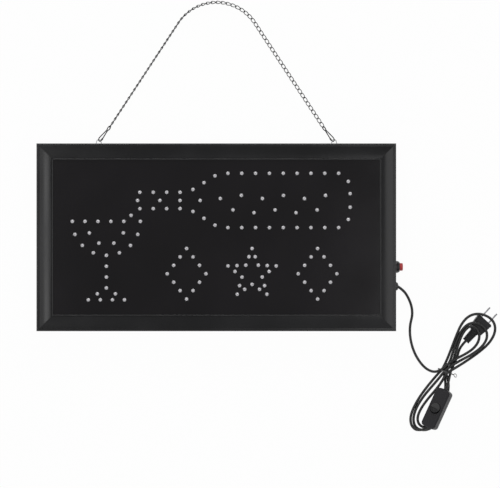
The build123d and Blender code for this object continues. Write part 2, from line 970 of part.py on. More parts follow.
def corner_radii(points):
    """Radius at each corner of a cord's route, as large as the two runs beside it allow."""
    radii = []
    for before, corner, after in zip(points[:-2], points[1:-1], points[2:]):
        arriving = Vector(*corner) - Vector(*before)
        leaving = Vector(*after) - Vector(*corner)
        shorter = min(arriving.length, leaving.length)
        radii.append(0.45 * shorter / tan(radians(arriving.get_angle(leaving)) / 2))
    return radii


def cord_tube(points, name):
    """A stretch of the cord: straight runs joined by tangent arcs."""
    radii = corner_radii(points)
    with BuildPart() as tube:
        with BuildLine() as route:
            FilletPolyline(*points, radius=radii)
        path = route.wire()
        with BuildSketch(Plane(path @ 0, z_dir=path % 0)) as section:
            polygon(cord_diameter)
        sweep(path=path)
    print(name, "radii", [round(radius, 1) for radius in radii])
    swept = section.sketch.area * path.length
    print(name, "volume", round(tube.part.volume, 1), "section x length", round(swept, 1))
    return tube


save(cord_tube(loose_points, "mains_cord"), "mains_cord")
save(cord_tube(lead_points, "cord_plug_lead"), "cord_plug_lead")

# ---------------------------------------------------------------- inline switch

switch_height = switch_base_height + switch_cover_height
switch_along = unit(switch_azimuth)
switch_normal = Vector(0, 0, 1).rotate(Axis((0, 0, 0), switch_along), -switch_roll)
switch_lowest = (switch_width / 2 - switch_chamfer) * sin(radians(switch_roll))
switch_middle = Plane(
    origin=(
        switch_x,
        switch_y,
        switch_lowest + switch_height / 2 * cos(radians(switch_roll)),
    ),
    x_dir=switch_along,
    z_dir=switch_normal,
)
switch_floor = switch_middle.offset(-switch_height / 2)
switch_parting = switch_floor.offset(switch_base_height)
switch_face = switch_middle.offset(switch_height / 2)
switch_up = Axis(switch_floor.origin, switch_normal)
boss_points = [
    (side * (switch_length / 2 - switch_boss_setback), side * switch_boss_aside)
    for side in (-1, 1)
]
switch_ends = Plane(
    origin=switch_parting.origin - switch_along * switch_length,
    x_dir=switch_parting.y_dir,
    z_dir=switch_along,
)

with BuildSketch() as switch_outline:
    end_x = switch_length / 2 - switch_end_bulge
    with BuildLine():
        Line((-end_x, switch_width / 2), (end_x, switch_width / 2))
        ThreePointArc((end_x, switch_width / 2), (switch_length / 2, 0), (end_x, -switch_width / 2))
        Line((end_x, -switch_width / 2), (-end_x, -switch_width / 2))
        ThreePointArc((-end_x, -switch_width / 2), (-switch_length / 2, 0), (-end_x, switch_width / 2))
    make_face()
    fillet(switch_outline.vertices(), switch_corner)
with BuildSketch() as switch_cavity:
    Rectangle(switch_cavity_length, switch_width - 2 * switch_wall)

with BuildPart() as switch_base:
    with BuildSketch(switch_floor):
        add(switch_outline.sketch)
    extrude(amount=switch_base_height)
    chamfer(switch_base.faces().sort_by(switch_up)[0].edges(), switch_chamfer)
    with BuildSketch(switch_floor.offset(switch_wall)):
        add(switch_cavity.sketch)
    extrude(amount=switch_base_height - switch_wall, mode=Mode.SUBTRACT)
    with BuildSketch(switch_floor):
        with Locations(*boss_points):
            polygon(switch_screw, screw_clearance)
    extrude(amount=switch_base_height, mode=Mode.SUBTRACT)
    with BuildSketch(switch_floor):
        with Locations(*boss_points):
            polygon(switch_screw_head, screw_clearance)
    extrude(amount=switch_screw_recess, mode=Mode.SUBTRACT)
    with BuildSketch(switch_ends):
        polygon(cord_diameter, entry_clearance)
    extrude(amount=2 * switch_length, mode=Mode.SUBTRACT)
save(switch_base, "switch_base")

pivot_height = switch_height - rocker_pivot_depth
pin_length = rocker_well + 2 * pin_seat
pin_plane = Plane(
    origin=switch_floor.from_local_coords((0, -pin_length / 2, pivot_height)),
    x_dir=switch_along,
    z_dir=switch_floor.y_dir,
)
with BuildPart() as switch_cover:
    with BuildSketch(switch_parting):
        add(switch_outline.sketch)
    extrude(amount=switch_cover_height)
    chamfer(switch_cover.faces().sort_by(switch_up)[-1].edges(), switch_chamfer)
    with BuildSketch(switch_parting):
        add(switch_cavity.sketch)
    extrude(amount=switch_cover_height - rocker_depth - collar_gap, mode=Mode.SUBTRACT)
    with BuildSketch(switch_parting):
        Circle(rocker_well / 2)
    extrude(amount=switch_cover_height, mode=Mode.SUBTRACT)
    with BuildSketch(switch_parting):
        with Locations(*boss_points):
            polygon(switch_screw)
    extrude(amount=switch_screw_length - switch_base_height + running_clearance, mode=Mode.SUBTRACT)
    with BuildSketch(pin_plane):
        polygon(pin_diameter)
    extrude(amount=pin_length, mode=Mode.SUBTRACT)
    with BuildSketch(switch_ends):
        polygon(cord_diameter, entry_clearance)
    extrude(amount=2 * switch_length, mode=Mode.SUBTRACT)
save(switch_cover, "switch_cover")

with BuildPart() as rocker_pin:
    with BuildSketch(pin_plane):
        polygon(pin_diameter)
    extrude(amount=pin_length)
save(rocker_pin, "rocker_pin")

rocker_up = switch_normal.rotate(Axis((0, 0, 0), switch_floor.y_dir), rocker_tilt)
rocker_plane = Plane(
    origin=switch_floor.from_local_coords((0, 0, pivot_height)),
    x_dir=switch_floor.y_dir.cross(rocker_up),
    z_dir=rocker_up,
)
rocker_top = rocker_pivot_depth + rocker_rise
rocker_bottom = rocker_pivot_depth - rocker_depth
with BuildPart() as switch_rocker:
    with BuildSketch(rocker_plane.offset(rocker_bottom)):
        Circle(rocker_diameter / 2)
    extrude(amount=rocker_top - rocker_bottom)
    with BuildSketch(
        Plane(origin=rocker_plane.origin, x_dir=rocker_plane.x_dir, z_dir=-rocker_plane.y_dir)
    ):
        with BuildLine():
            Polyline(
                (-rocker_diameter / 2, rocker_top),
                (0, rocker_top - rocker_dish),
                (rocker_diameter / 2, rocker_top),
                close=True,
            )
        make_face()
    extrude(amount=rocker_diameter, both=True, mode=Mode.SUBTRACT)
    with BuildSketch(
        Plane(origin=rocker_plane.origin, x_dir=rocker_plane.x_dir, z_dir=rocker_plane.y_dir)
    ):
        Circle(pin_diameter / 2 + running_clearance)
    extrude(amount=rocker_diameter, both=True, mode=Mode.SUBTRACT)
save(switch_rocker, "switch_rocker")

with BuildPart() as switch_contacts:
    with BuildSketch(switch_floor.offset(switch_wall)):
        with GridLocations(contact_spacing, 0, 2, 1):
            Rectangle(contact_thickness, contact_width)
    extrude(amount=contact_height)
    with BuildSketch(switch_floor.offset(switch_wall)):
        with GridLocations(contact_spacing + contact_width, 0, 2, 1):
            Rectangle(contact_width, contact_width)
    extrude(amount=contact_thickness)
save(switch_contacts, "switch_contacts")

with BuildPart() as switch_screws:
    with BuildSketch(switch_floor.offset(running_clearance)):
        with Locations(*boss_points):
            polygon(switch_screw_head)
    extrude(amount=switch_screw_recess - running_clearance)
    with BuildSketch(switch_floor.offset(running_clearance)):
        with Locations(*boss_points):
            polygon(switch_screw)
    extrude(amount=switch_screw_length - running_clearance)
save(switch_screws, "switch_screws")

# ---------------------------------------------------------------- plug

plug_plane = Plane(
    origin=(plug_x, plug_y, plug_height / 2), x_dir=unit(plug_azimuth), z_dir=(0, 0, 1)
)
plug_front = relief_length + plug_length


def plug_section(along):
    """Plane across the plug at a distance from the end of its strain relief."""
    return Plane(
        origin=plug_plane.from_local_coords((along, 0, 0)),
        x_dir=plug_plane.y_dir,
        z_dir=plug_plane.x_dir,
    )


rib_pitch = relief_length / (relief_ribs + 0.5)
with BuildPart() as plug_strain_relief:
    with BuildSketch(plug_plane):
        with BuildLine():
            Polyline(
                (0, relief_start_width / 2),
                (relief_length, relief_end_width / 2),
                (relief_length, -relief_end_width / 2),
                (0, -relief_start_width / 2),
                close=True,
            )
        make_face()
    extrude(amount=relief_height / 2, both=True)
    for i in range(relief_ribs):
        gap_start = rib_pitch * (i + 1) - relief_rib_gap
        slope = (relief_end_width - relief_start_width) / relief_length
        core_width = relief_start_width + slope * gap_start - 2 * relief_rib_depth
        with BuildSketch(plug_section(gap_start)):
            Rectangle(plug_front_width, plug_height)
            Rectangle(core_width, relief_height - 2 * relief_rib_depth, mode=Mode.SUBTRACT)
        extrude(amount=relief_rib_gap, mode=Mode.SUBTRACT)
save(plug_strain_relief, "plug_strain_relief")

with BuildSketch() as blade_section:
    with GridLocations(blade_spacing, 0, 2, 1):
        Rectangle(blade_thickness, blade_width)
with BuildPart() as plug_body:
    with BuildSketch(plug_plane):
        with BuildLine():
            Polyline(
                (relief_length, plug_back_width / 2),
                (plug_front, plug_front_width / 2),
                (plug_front, -plug_front_width / 2),
                (relief_length, -plug_back_width / 2),
                close=True,
            )
        corners = make_face().vertices()
        fillet(corners, plug_corner)
    extrude(amount=plug_height / 2, both=True)
    chamfer(
        plug_body.faces().sort_by(Axis.Z)[0].edges() + plug_body.faces().sort_by(Axis.Z)[-1].edges(),
        plug_chamfer,
    )
    for i in range(grip_ribs):
        groove_x = plug_front - plug_corner - grip_pitch * (i + 1)
        with BuildSketch(plug_section(groove_x)):
            Rectangle(2 * plug_front_width, 2 * plug_height)
            Rectangle(plug_front_width - 4 * grip_depth, 2 * plug_height, mode=Mode.SUBTRACT)
        extrude(amount=grip_width, mode=Mode.SUBTRACT)
    with BuildSketch(plug_section(plug_front)):
        with GridLocations(blade_spacing, 0, 2, 1):
            Rectangle(blade_thickness + 2 * blade_clearance, blade_width + 2 * blade_clearance)
    extrude(amount=-blade_root, mode=Mode.SUBTRACT)
save(plug_body, "plug_body")

with BuildPart() as plug_blades:
    with BuildSketch(plug_section(plug_front - blade_root)):
        add(blade_section.sketch)
    extrude(amount=blade_root + blade_length)
    with BuildSketch(
        Plane(
            origin=plug_plane.from_local_coords((plug_front + blade_length, 0, 0)),
            x_dir=plug_plane.x_dir,
            z_dir=-plug_plane.y_dir,
        )
    ):
        for side in (-1, 1):
            with BuildLine():
                Polyline(
                    (-blade_tip, side * blade_width / 2),
                    (0, side * blade_width / 2),
                    (0, side * (blade_width / 2 - blade_tip)),
                    close=True,
                )
            make_face()
        with Locations((-blade_hole_setback, 0)):
            polygon(blade_hole)
    extrude(amount=blade_spacing, both=True, mode=Mode.SUBTRACT)
save(plug_blades, "plug_blades")

# ---------------------------------------------------------------- tied coils of cord

neck_plane = Plane(
    origin=(neck_x, neck_y, neck_base), x_dir=unit(neck_azimuth), z_dir=(0, 0, 1)
)
upper_tip = Vector(neck_x, neck_y) + unit(neck_azimuth) * neck_length / 2
lower_tip = Vector(neck_x, neck_y) - unit(neck_azimuth) * neck_length / 2

with BuildSketch() as upper_coil:
    with BuildLine():
        ThreePointArc(upper_tip, (317.8, -143.0), (335.0, -115.5))
        ThreePointArc((335.0, -115.5), (363.0, -105.5), (374.5, -127.0))
        ThreePointArc((374.5, -127.0), (352.5, -155.0), upper_tip)
    make_face()
with BuildSketch() as lower_coil:
    with BuildLine():
        ThreePointArc(lower_tip, (280.5, -205.5), (264.5, -239.0))
        ThreePointArc((264.5, -239.0), (266.5, -256.5), (283.5, -259.0))
        ThreePointArc((283.5, -259.0), (303.5, -226.0), lower_tip)
    make_face()


def coil_ring(loop, height):
    """The outer shape of a coil: a band round its loop."""
    with BuildSketch(mode=Mode.PRIVATE) as band:
        add(offset(loop.face(), amount=coil_outset, mode=Mode.PRIVATE))
        add(offset(loop.face(), amount=-coil_inset, mode=Mode.PRIVATE), mode=Mode.SUBTRACT)
    return extrude(band.sketch, amount=height, mode=Mode.PRIVATE)


with BuildPart() as cord_hank_upper:
    add(coil_ring(upper_coil, coil_top))
    with BuildSketch(
        Plane(
            origin=(upper_tip.X, upper_tip.Y, 0),
            x_dir=unit(plug_azimuth),
            z_dir=unit(plug_azimuth - 90),
        )
    ):
        with BuildLine():
            Polyline(
                (-coil_height, 0),
                (coil_lift_start, 0),
                (coil_lift_end, coil_lift),
                (2 * coil_lift_end, coil_lift),
                (2 * coil_lift_end, coil_top),
                (coil_lift_end, coil_top),
                (coil_lift_start, coil_height),
                (-coil_height, coil_height),
                close=True,
            )
        make_face()
    extrude(amount=coil_lift_end, both=True, mode=Mode.INTERSECT)
    with BuildSketch(plug_plane.offset(-plug_height / 2)):
        with Locations(((relief_length + plug_front) / 2, 0)):
            Rectangle(plug_length + 2 * coil_clearance, plug_front_width + 2 * coil_clearance)
    extrude(amount=plug_height + coil_clearance, mode=Mode.SUBTRACT)
    with BuildSketch(neck_plane):
        Rectangle(neck_length, neck_width)
    extrude(amount=neck_height, mode=Mode.SUBTRACT)
save(cord_hank_upper, "cord_hank_upper")

with BuildPart() as cord_hank_lower:
    add(coil_ring(lower_coil, coil_height))
    with BuildSketch(switch_floor.offset(-coil_clearance)):
        Rectangle(switch_length + 2 * coil_clearance, switch_width + 2 * coil_clearance)
    extrude(amount=switch_height + coil_clearance, mode=Mode.SUBTRACT)
    with BuildSketch(neck_plane):
        Rectangle(neck_length, neck_width)
    extrude(amount=neck_height)
save(cord_hank_lower, "cord_hank_lower")

tie_plane = Plane(
    origin=(neck_x, neck_y, neck_base + neck_height / 2),
    x_dir=neck_plane.y_dir,
    z_dir=neck_plane.x_dir,
)
with BuildPart() as twist_tie:
    with BuildSketch(tie_plane):
        Rectangle(neck_width + 2 * tie_thickness, neck_height + 2 * tie_thickness)
        Rectangle(neck_width, neck_height, mode=Mode.SUBTRACT)
    extrude(amount=tie_width / 2, both=True)
    with BuildSketch(neck_plane.offset(neck_height + tie_thickness)):
        Rectangle(tie_width, tie_tail)
    extrude(amount=tie_thickness)
save(twist_tie, "twist_tie")
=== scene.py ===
"""Looks of a framed LED window sign with a hanging chain, a push button and a switched, plugged cord.

The sign lies on its back. X runs to its right, Y to its top edge and +Z out of its face.
Lengths are in metres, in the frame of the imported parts.
"""

import json
from math import cos, pi, radians, sin

import bmesh
import bpy
import numpy as np
from bpy.props import FloatProperty, FloatVectorProperty, IntProperty, PointerProperty
from mathutils import Matrix, Vector


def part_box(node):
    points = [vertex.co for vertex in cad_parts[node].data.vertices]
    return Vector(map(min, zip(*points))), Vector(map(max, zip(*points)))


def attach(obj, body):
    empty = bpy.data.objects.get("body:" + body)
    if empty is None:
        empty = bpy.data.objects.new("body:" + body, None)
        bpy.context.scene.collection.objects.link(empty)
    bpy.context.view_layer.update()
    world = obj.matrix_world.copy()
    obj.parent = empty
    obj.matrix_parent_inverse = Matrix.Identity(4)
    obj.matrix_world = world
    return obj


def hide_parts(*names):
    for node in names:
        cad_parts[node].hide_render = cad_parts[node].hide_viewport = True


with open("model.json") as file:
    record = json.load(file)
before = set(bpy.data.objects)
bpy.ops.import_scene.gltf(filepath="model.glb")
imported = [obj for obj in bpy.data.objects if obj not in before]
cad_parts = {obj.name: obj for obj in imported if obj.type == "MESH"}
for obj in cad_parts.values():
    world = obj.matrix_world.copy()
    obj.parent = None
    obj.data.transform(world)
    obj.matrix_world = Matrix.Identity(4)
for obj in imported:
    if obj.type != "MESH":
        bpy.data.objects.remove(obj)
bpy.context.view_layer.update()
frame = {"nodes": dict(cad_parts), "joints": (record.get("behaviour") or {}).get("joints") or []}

bl_info = {
    "name": "Lighted window sign",
    "version": (1, 0, 0),
    "blender": (4, 5, 0),
    "location": "3D View > Sidebar > Window Sign",
    "description": "Dresses a framed LED window sign with its chain, cord, switch and plug",
    "category": "Add Mesh",
}

SIGN_BODY = "sign"
WELD = 1e-6  # corners nearer than this are one corner
UP = Vector((0, 0, 1))

# ---------------------------------------------------------------- sizes and colours a user may change


def colour(name, description, default):
    """A colour property, in linear light."""
    return FloatVectorProperty(
        name=name, description=description, default=default, subtype="COLOR", size=3, min=0, max=1
    )


def length(name, description, default):
    """A length property."""
    return FloatProperty(
        name=name, description=description, default=default, min=0, unit="LENGTH", precision=5
    )


class SignFinishes(bpy.types.PropertyGroup):
    """Colours of the sign's materials."""

    frame: colour("Frame", "Black lacquer of the moulding", (0.0085, 0.0085, 0.0095))
    panel: colour("Face panel", "Black acrylic face", (0.0052, 0.0042, 0.0055))
    back: colour("Back panel", "Matt black back board", (0.02, 0.02, 0.021))
    lens: colour("Lamp lens", "Clear lamp resin over its cup", (0.72, 0.71, 0.74))
    wire: colour("Clip and chain", "Blackened steel wire", (0.018, 0.018, 0.019))
    steel: colour("Bright steel", "Screws and corner keys", (0.55, 0.55, 0.54))
    bail: colour("Bail wire", "Zinc-plated wire of the hanging bails", (0.24, 0.24, 0.25))
    blade: colour("Plug blades", "Nickel plate of the blades", (0.20, 0.20, 0.21))
    cap: colour("Button cap", "Red plastic of the push button", (0.50, 0.018, 0.022))
    moulding: colour("Fittings", "Black plastic of bezel, gland and plug", (0.012, 0.012, 0.013))
    switch: colour("Inline switch", "Dark grey plastic of the switch", (0.019, 0.018, 0.021))
    cord: colour("Cord", "Black cord sheath", (0.013, 0.013, 0.013))
    board: colour("Circuit board", "Green solder mask", (0.012, 0.11, 0.035))


class SignLamps(bpy.types.PropertyGroup):
    """Sizes of the lamp lenses."""

    sides: IntProperty(name="Sides", description="Facets round a lens", default=20, min=8)
    bands: IntProperty(name="Bands", description="Facets up the dome", default=5, min=2)
    collar: length("Collar", "Height of the rim under the dome", 0.0006)


class SignWires(bpy.types.PropertyGroup):
    """Diameters of the bent wires."""

    bail: length("Bail wire", "Diameter of the hanging bails' wire", 0.0010)
    clip: length("Clip wire", "Diameter of the snap clips' wire", 0.00145)
    link: length("Chain wire", "Diameter of the links' wire", 0.00105)
    twist: FloatProperty(
        name="Link twist", description="Turn of a link's end", default=-pi / 4, subtype="ANGLE"
    )


class SignCord(bpy.types.PropertyGroup):
    """Sizes of the cord and its tie."""

    diameter: length("Cord diameter", "Over the sheath", 0.0036)
    pitch: length("Strand pitch", "Between strands that lie side by side", 0.0037)
    tie_wire: length("Tie wire", "Diameter of the twist tie", 0.0009)


class SignStudio(bpy.types.PropertyGroup):
    """Camera, floor and lamps of the studio."""

    lens: FloatProperty(
        name="Lens", description="Focal length", default=150.0, subtype="DISTANCE_CAMERA"
    )
    view_width: length("View width", "Width of the view at the face", 0.672)
    aim: FloatVectorProperty(
        name="Aim", description="Point the camera looks at", default=(0.0452, -0.009, 0.018),
        subtype="XYZ", unit="LENGTH",
    )
    floor: colour("Floor", "Plain floor", (0.80, 0.80, 0.80))
    sides: FloatProperty(name="Sides", description="Power of a side lamp", default=8.0, unit="POWER")
    ends: FloatProperty(name="Ends", description="Power of an end lamp", default=17.0, unit="POWER")
    sheen: FloatProperty(
        name="Sheen", description="Power of the lamp mirrored in the face", default=4.2, unit="POWER"
    )
    sky: FloatProperty(name="Sky", description="Strength of the surroundings", default=0.25)


# ---------------------------------------------------------------- materials

NOISE_LOW, NOISE_HIGH = 0.3, 0.7  # nearly all of the noise lies between these
BUMP_STRENGTH = 0.6


def blank(name):
    """A material with only its surface shader and output."""
    material = bpy.data.materials.new(name)
    material.use_nodes = True
    nodes = material.node_tree.nodes
    return material, nodes, material.node_tree.links, nodes["Principled BSDF"]


def noise(nodes, links, scale, detail):
    """Noise in the object's own space. scale is in cycles per metre."""
    place = nodes.new("ShaderNodeTexCoord")
    texture = nodes.new("ShaderNodeTexNoise")
    texture.inputs["Scale"].default_value = scale
    texture.inputs["Detail"].default_value = detail
    links.new(place.outputs["Object"], texture.inputs["Vector"])
    return texture.outputs["Fac"]


def spread(nodes, links, value, low, high):
    """Stretch noise over a range."""
    ranged = nodes.new("ShaderNodeMapRange")
    ranged.inputs["From Min"].default_value = NOISE_LOW
    ranged.inputs["From Max"].default_value = NOISE_HIGH
    ranged.inputs["To Min"].default_value = low
    ranged.inputs["To Max"].default_value = high
    links.new(value, ranged.inputs["Value"])
    return ranged.outputs["Result"]


def shades(nodes, links, value, tint, change):
    """Colour that wanders between a darker and a lighter tint."""
    ramp = nodes.new("ShaderNodeValToRGB")
    ramp.color_ramp.elements[0].position = NOISE_LOW
    ramp.color_ramp.elements[1].position = NOISE_HIGH
    ramp.color_ramp.elements[0].color = (*[part * (1 - change) for part in tint], 1)
    ramp.color_ramp.elements[1].color = (*[min(1, part * (1 + change)) for part in tint], 1)
    links.new(value, ramp.inputs["Fac"])
    return ramp.outputs["Color"]


def bump(nodes, links, value, height, shader):
    """Fine relief, its height in metres."""
    relief = nodes.new("ShaderNodeBump")
    relief.inputs["Strength"].default_value = BUMP_STRENGTH
    relief.inputs["Distance"].default_value = height
    links.new(value, relief.inputs["Height"])
    links.new(relief.outputs["Normal"], shader.inputs["Normal"])


def finish(
    name, tint, gloss, change=0.15, metal=0.0, grain=900, relief=0.00002, cloud=25, specular=0.5
):
    """A moulded, painted or metal finish with broad shading, uneven gloss and a fine grain.

    gloss is the range of roughness and change the share by which the tint wanders. grain and
    cloud are in cycles per metre, relief in metres.
    """
    material, nodes, links, shader = blank(name)
    broad = noise(nodes, links, cloud, 3)
    fine = noise(nodes, links, grain, 2)
    links.new(shades(nodes, links, broad, tint, change), shader.inputs["Base Color"])
    links.new(spread(nodes, links, broad, *gloss), shader.inputs["Roughness"])
    bump(nodes, links, fine, relief, shader)
    shader.inputs["Metallic"].default_value = metal
    shader.inputs["Specular IOR Level"].default_value = specular
    return material


def lens_finish(name, tint):
    """Clear resin: a dark die in the middle, a bright cup round it and a darker rim."""
    material, nodes, links, shader = blank(name)
    radius = nodes.new("ShaderNodeAttribute")
    radius.attribute_name = "radius_share"
    ramp = nodes.new("ShaderNodeValToRGB")
    bands = ramp.color_ramp
    bands.elements[0].position = 0.0
    bands.elements[0].color = (*[part * 0.25 for part in tint], 1)
    bands.elements[1].position = 1.0
    bands.elements[1].color = (*[part * 0.5 for part in tint], 1)
    for position, share in ((0.16, 0.4), (0.30, 0.95), (0.80, 1.0), (0.95, 0.7)):
        bands.elements.new(position).color = (*[part * share for part in tint], 1)
    links.new(radius.outputs["Fac"], ramp.inputs["Fac"])
    links.new(ramp.outputs["Color"], shader.inputs["Base Color"])
    links.new(
        spread(nodes, links, noise(nodes, links, 300, 1), 0.06, 0.14), shader.inputs["Roughness"]
    )
    shader.inputs["Coat Weight"].default_value = 0.6
    shader.inputs["IOR"].default_value = 1.53
    return material


def show_white(tree, surface, rays_seen, share=1.0):
    """Mix plain white into a surface, by a share, for the kinds of ray that look straight at it."""
    nodes = tree.nodes
    links = tree.links
    rays = nodes.new("ShaderNodeLightPath")
    seen = rays.outputs[f"Is {rays_seen[0]} Ray"]
    for kind in rays_seen[1:]:
        either = nodes.new("ShaderNodeMath")
        either.operation = "MAXIMUM"
        links.new(seen, either.inputs[0])
        links.new(rays.outputs[f"Is {kind} Ray"], either.inputs[1])
        seen = either.outputs["Value"]
    part = nodes.new("ShaderNodeMath")
    part.operation = "MULTIPLY"
    part.inputs[1].default_value = share
    links.new(seen, part.inputs[0])
    white = nodes.new("ShaderNodeEmission")
    white.inputs["Color"].default_value = (1, 1, 1, 1)
    white.inputs["Strength"].default_value = 1.0
    mixed = nodes.new("ShaderNodeMixShader")
    links.new(part.outputs["Value"], mixed.inputs["Fac"])
    links.new(surface, mixed.inputs[1])
    links.new(white.outputs["Emission"], mixed.inputs[2])
    return mixed.outputs["Shader"]


# ---------------------------------------------------------------- meshes

SHARP_FROM = radians(40)  # an edge that turns by more stays sharp


def coat(node, material):
    """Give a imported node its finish."""
    data = frame["nodes"][node].data
    data.materials.clear()
    data.materials.append(material)


def add_piece(name, shape, material, body, nodes):
    """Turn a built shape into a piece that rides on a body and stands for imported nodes."""
    bmesh.ops.recalc_face_normals(shape, faces=shape.faces)
    data = bpy.data.meshes.new(name)
    shape.to_mesh(data)
    shape.free()
    data.materials.append(material)
    return place_piece(name, data, body, nodes)


def place_piece(name, data, body, nodes):
    """Link a mesh or curve as a piece."""
    piece = bpy.data.objects.new(name, data)
    bpy.context.scene.collection.objects.link(piece)
    if isinstance(data, bpy.types.Mesh):
        data.polygons.foreach_set("use_smooth", [True] * len(data.polygons))
        data.set_sharp_from_angle(angle=SHARP_FROM)
    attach(piece, body)
    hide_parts(*nodes)
    return piece


def solids_of(node):
    """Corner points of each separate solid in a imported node."""
    shape = bmesh.new()
    shape.from_mesh(frame["nodes"][node].data)
    bmesh.ops.remove_doubles(shape, verts=shape.verts, dist=WELD)
    shape.verts.index_update()
    seen = set()
    solids = []
    for first in shape.verts:
        if first.index in seen:
            continue
        seen.add(first.index)
        waiting = [first]
        corners = []
        while waiting:
            corner = waiting.pop()
            corners.append(tuple(corner.co))
            for edge in corner.link_edges:
                other = edge.other_vert(corner)
                if other.index not in seen:
                    seen.add(other.index)
                    waiting.append(other)
        solids.append(np.array(corners))
    shape.free()
    return solids


def own_frame(corners):
    """Right-handed frame of a symmetrical solid, longest axis first, and its three sizes."""
    middle = corners.mean(0)
    axes = np.linalg.eigh(np.cov((corners - middle).T))[1]
    along = axes[:, 2]
    across = axes[:, 1]
    normal = np.cross(along, across)
    turned = (corners - middle) @ np.array([along, across, normal]).T
    centre = middle + (turned.max(0) + turned.min(0)) / 2 @ np.array([along, across, normal])
    matrix = Matrix((along, across, normal)).transposed().to_4x4()
    matrix.translation = Vector(centre)
    return matrix, Vector(turned.max(0) - turned.min(0))


def squared(value, power):
    """Draw a sine or cosine out towards a square corner."""
    return abs(value) ** power * (1 if value > 0 else -1)


def join_rings(shape, rings):
    """Faces between each ring of corners and the next. A ring of one corner is a tip."""
    for ring, following in zip(rings[:-1], rings[1:]):
        sides = max(len(ring), len(following))
        for j in range(sides):
            k = (j + 1) % sides
            if len(ring) == 1:
                shape.faces.new((ring[0], following[j], following[k]))
            elif len(following) == 1:
                shape.faces.new((ring[j], ring[k], following[0]))
            else:
                shape.faces.new((ring[j], ring[k], following[k], following[j]))


def sweep(shape, line, radius, sides=8, closed=False):
    """Add a round wire along a line of points, with rounded ends when it is open."""
    count = len(line)
    if closed:
        tangents = [(line[(i + 1) % count] - line[i - 1]).normalized() for i in range(count)]
    else:
        tangents = [
            (line[min(i + 1, count - 1)] - line[max(i - 1, 0)]).normalized() for i in range(count)
        ]
    side = tangents[0].orthogonal().normalized()
    outwards = []
    for tangent in tangents:
        side = (side - tangent * side.dot(tangent)).normalized()
        outwards.append(side)
    rings = []
    turn_back = 0.0  # what a closed wire's last ring has to turn to meet its first
    if closed:
        last = outwards[-1] - tangents[0] * outwards[-1].dot(tangents[0])
        last.normalize()
        turn_back = last.angle(outwards[0])
        if tangents[0].dot(last.cross(outwards[0])) < 0:
            turn_back = -turn_back
    for i, (point, tangent, out) in enumerate(zip(line, tangents, outwards)):
        start = Matrix.Rotation(turn_back * i / count, 3, tangent) @ out
        rings.append(
            [
                shape.verts.new(
                    point + Matrix.Rotation(2 * pi * j / sides, 3, tangent) @ start * radius
                )
                for j in range(sides)
            ]
        )
    join_rings(shape, rings + rings[:1] if closed else rings)
    if not closed:
        for ring, point, tangent in (
            (rings[0], line[0], -tangents[0]),
            (rings[-1], line[-1], tangents[-1]),
        ):
            tip = shape.verts.new(point + tangent * radius * 0.5)
            for j in range(sides):
                shape.faces.new((ring[j], ring[(j + 1) % sides], tip))


def rounded(points, radius, steps=5):
    """An open line whose corners are rounded off."""
    line = [points[0]]
    for before, corner, after in zip(points[:-2], points[1:-1], points[2:]):
        start = corner + (before - corner).normalized() * radius
        end = corner + (after - corner).normalized() * radius
        for i in range(steps + 1):
            t = i / steps
            line.append(start * (1 - t) ** 2 + corner * 2 * t * (1 - t) + end * t**2)
    line.append(points[-1])
    return line


def smoothed(points, steps=6):
    """A closed line that runs smoothly through its points."""
    count = len(points)
    line = []
    for i in range(count):
        a, b, c, d = [points[(i + k) % count] for k in (-1, 0, 1, 2)]
        for j in range(steps):
            t = j / steps
            line.append(
                (b * 2 + (c - a) * t + (a * 2 - b * 5 + c * 4 - d) * t**2
                 + (b * 3 - a - c * 3 + d) * t**3) / 2
            )
    return line


def turn_profile(shape, profile, place, sides=48):
    """Add a turned solid. The profile's points are (distance along the axis, radius)."""
    rings = []
    for along, radius in profile:
        if radius == 0:
            rings.append([shape.verts.new(place @ Vector((0, 0, along)))])
            continue
        rings.append(
            [
                shape.verts.new(
                    place
                    @ Vector((radius * cos(2 * pi * j / sides), radius * sin(2 * pi * j / sides), along))
                )
                for j in range(sides)
            ]
        )
    join_rings(shape, rings)


# ---------------------------------------------------------------- stage

SENSOR_WIDTH = 36.0
CLIP_END = 20.0
FLOOR_REACH = 3.0
FLOOR_DROP = 0.0003  # how far the floor lies under the sign
FLOOR_WHITE = 0.97  # the rest of the floor's look is its shadow
LAMPS = (  # name, place, size along and up, whose power it has, share of that power
    ("left_lamp", (-1.0, 0.0, 1.6), (2.6, 1.15), "sides", 1.15),
    ("right_lamp", (1.0, 0.0, 1.6), (2.6, 1.15), "sides", 0.7),
    ("left_low_lamp", (-2.1, 0.0, 0.75), (2.0, 0.8), "ends", 0.2),
    ("right_low_lamp", (2.1, 0.0, 0.75), (2.0, 0.8), "ends", 0.2),
    ("top_lamp", (0.1, 2.0, 0.95), (1.8, 0.4), "ends", 1.0),
    ("bottom_lamp", (0.1, -2.0, 0.75), (1.8, 0.8), "ends", 0.35),
    ("sheen_lamp", (0.75, -0.1, 2.7), (1.4, 0.6), "sheen", 1.0),
)


def white_surroundings(strength):
    """Surroundings that light the sign softly and are seen as plain white."""
    world = bpy.data.worlds.new("studio_surroundings")
    world.use_nodes = True
    backdrop = world.node_tree.nodes["Background"]
    backdrop.inputs["Color"].default_value = (1, 1, 1, 1)
    backdrop.inputs["Strength"].default_value = strength
    world.node_tree.links.new(
        show_white(world.node_tree, backdrop.outputs["Background"], ("Camera", "Transmission")),
        world.node_tree.nodes["World Output"].inputs["Surface"],
    )
    return world


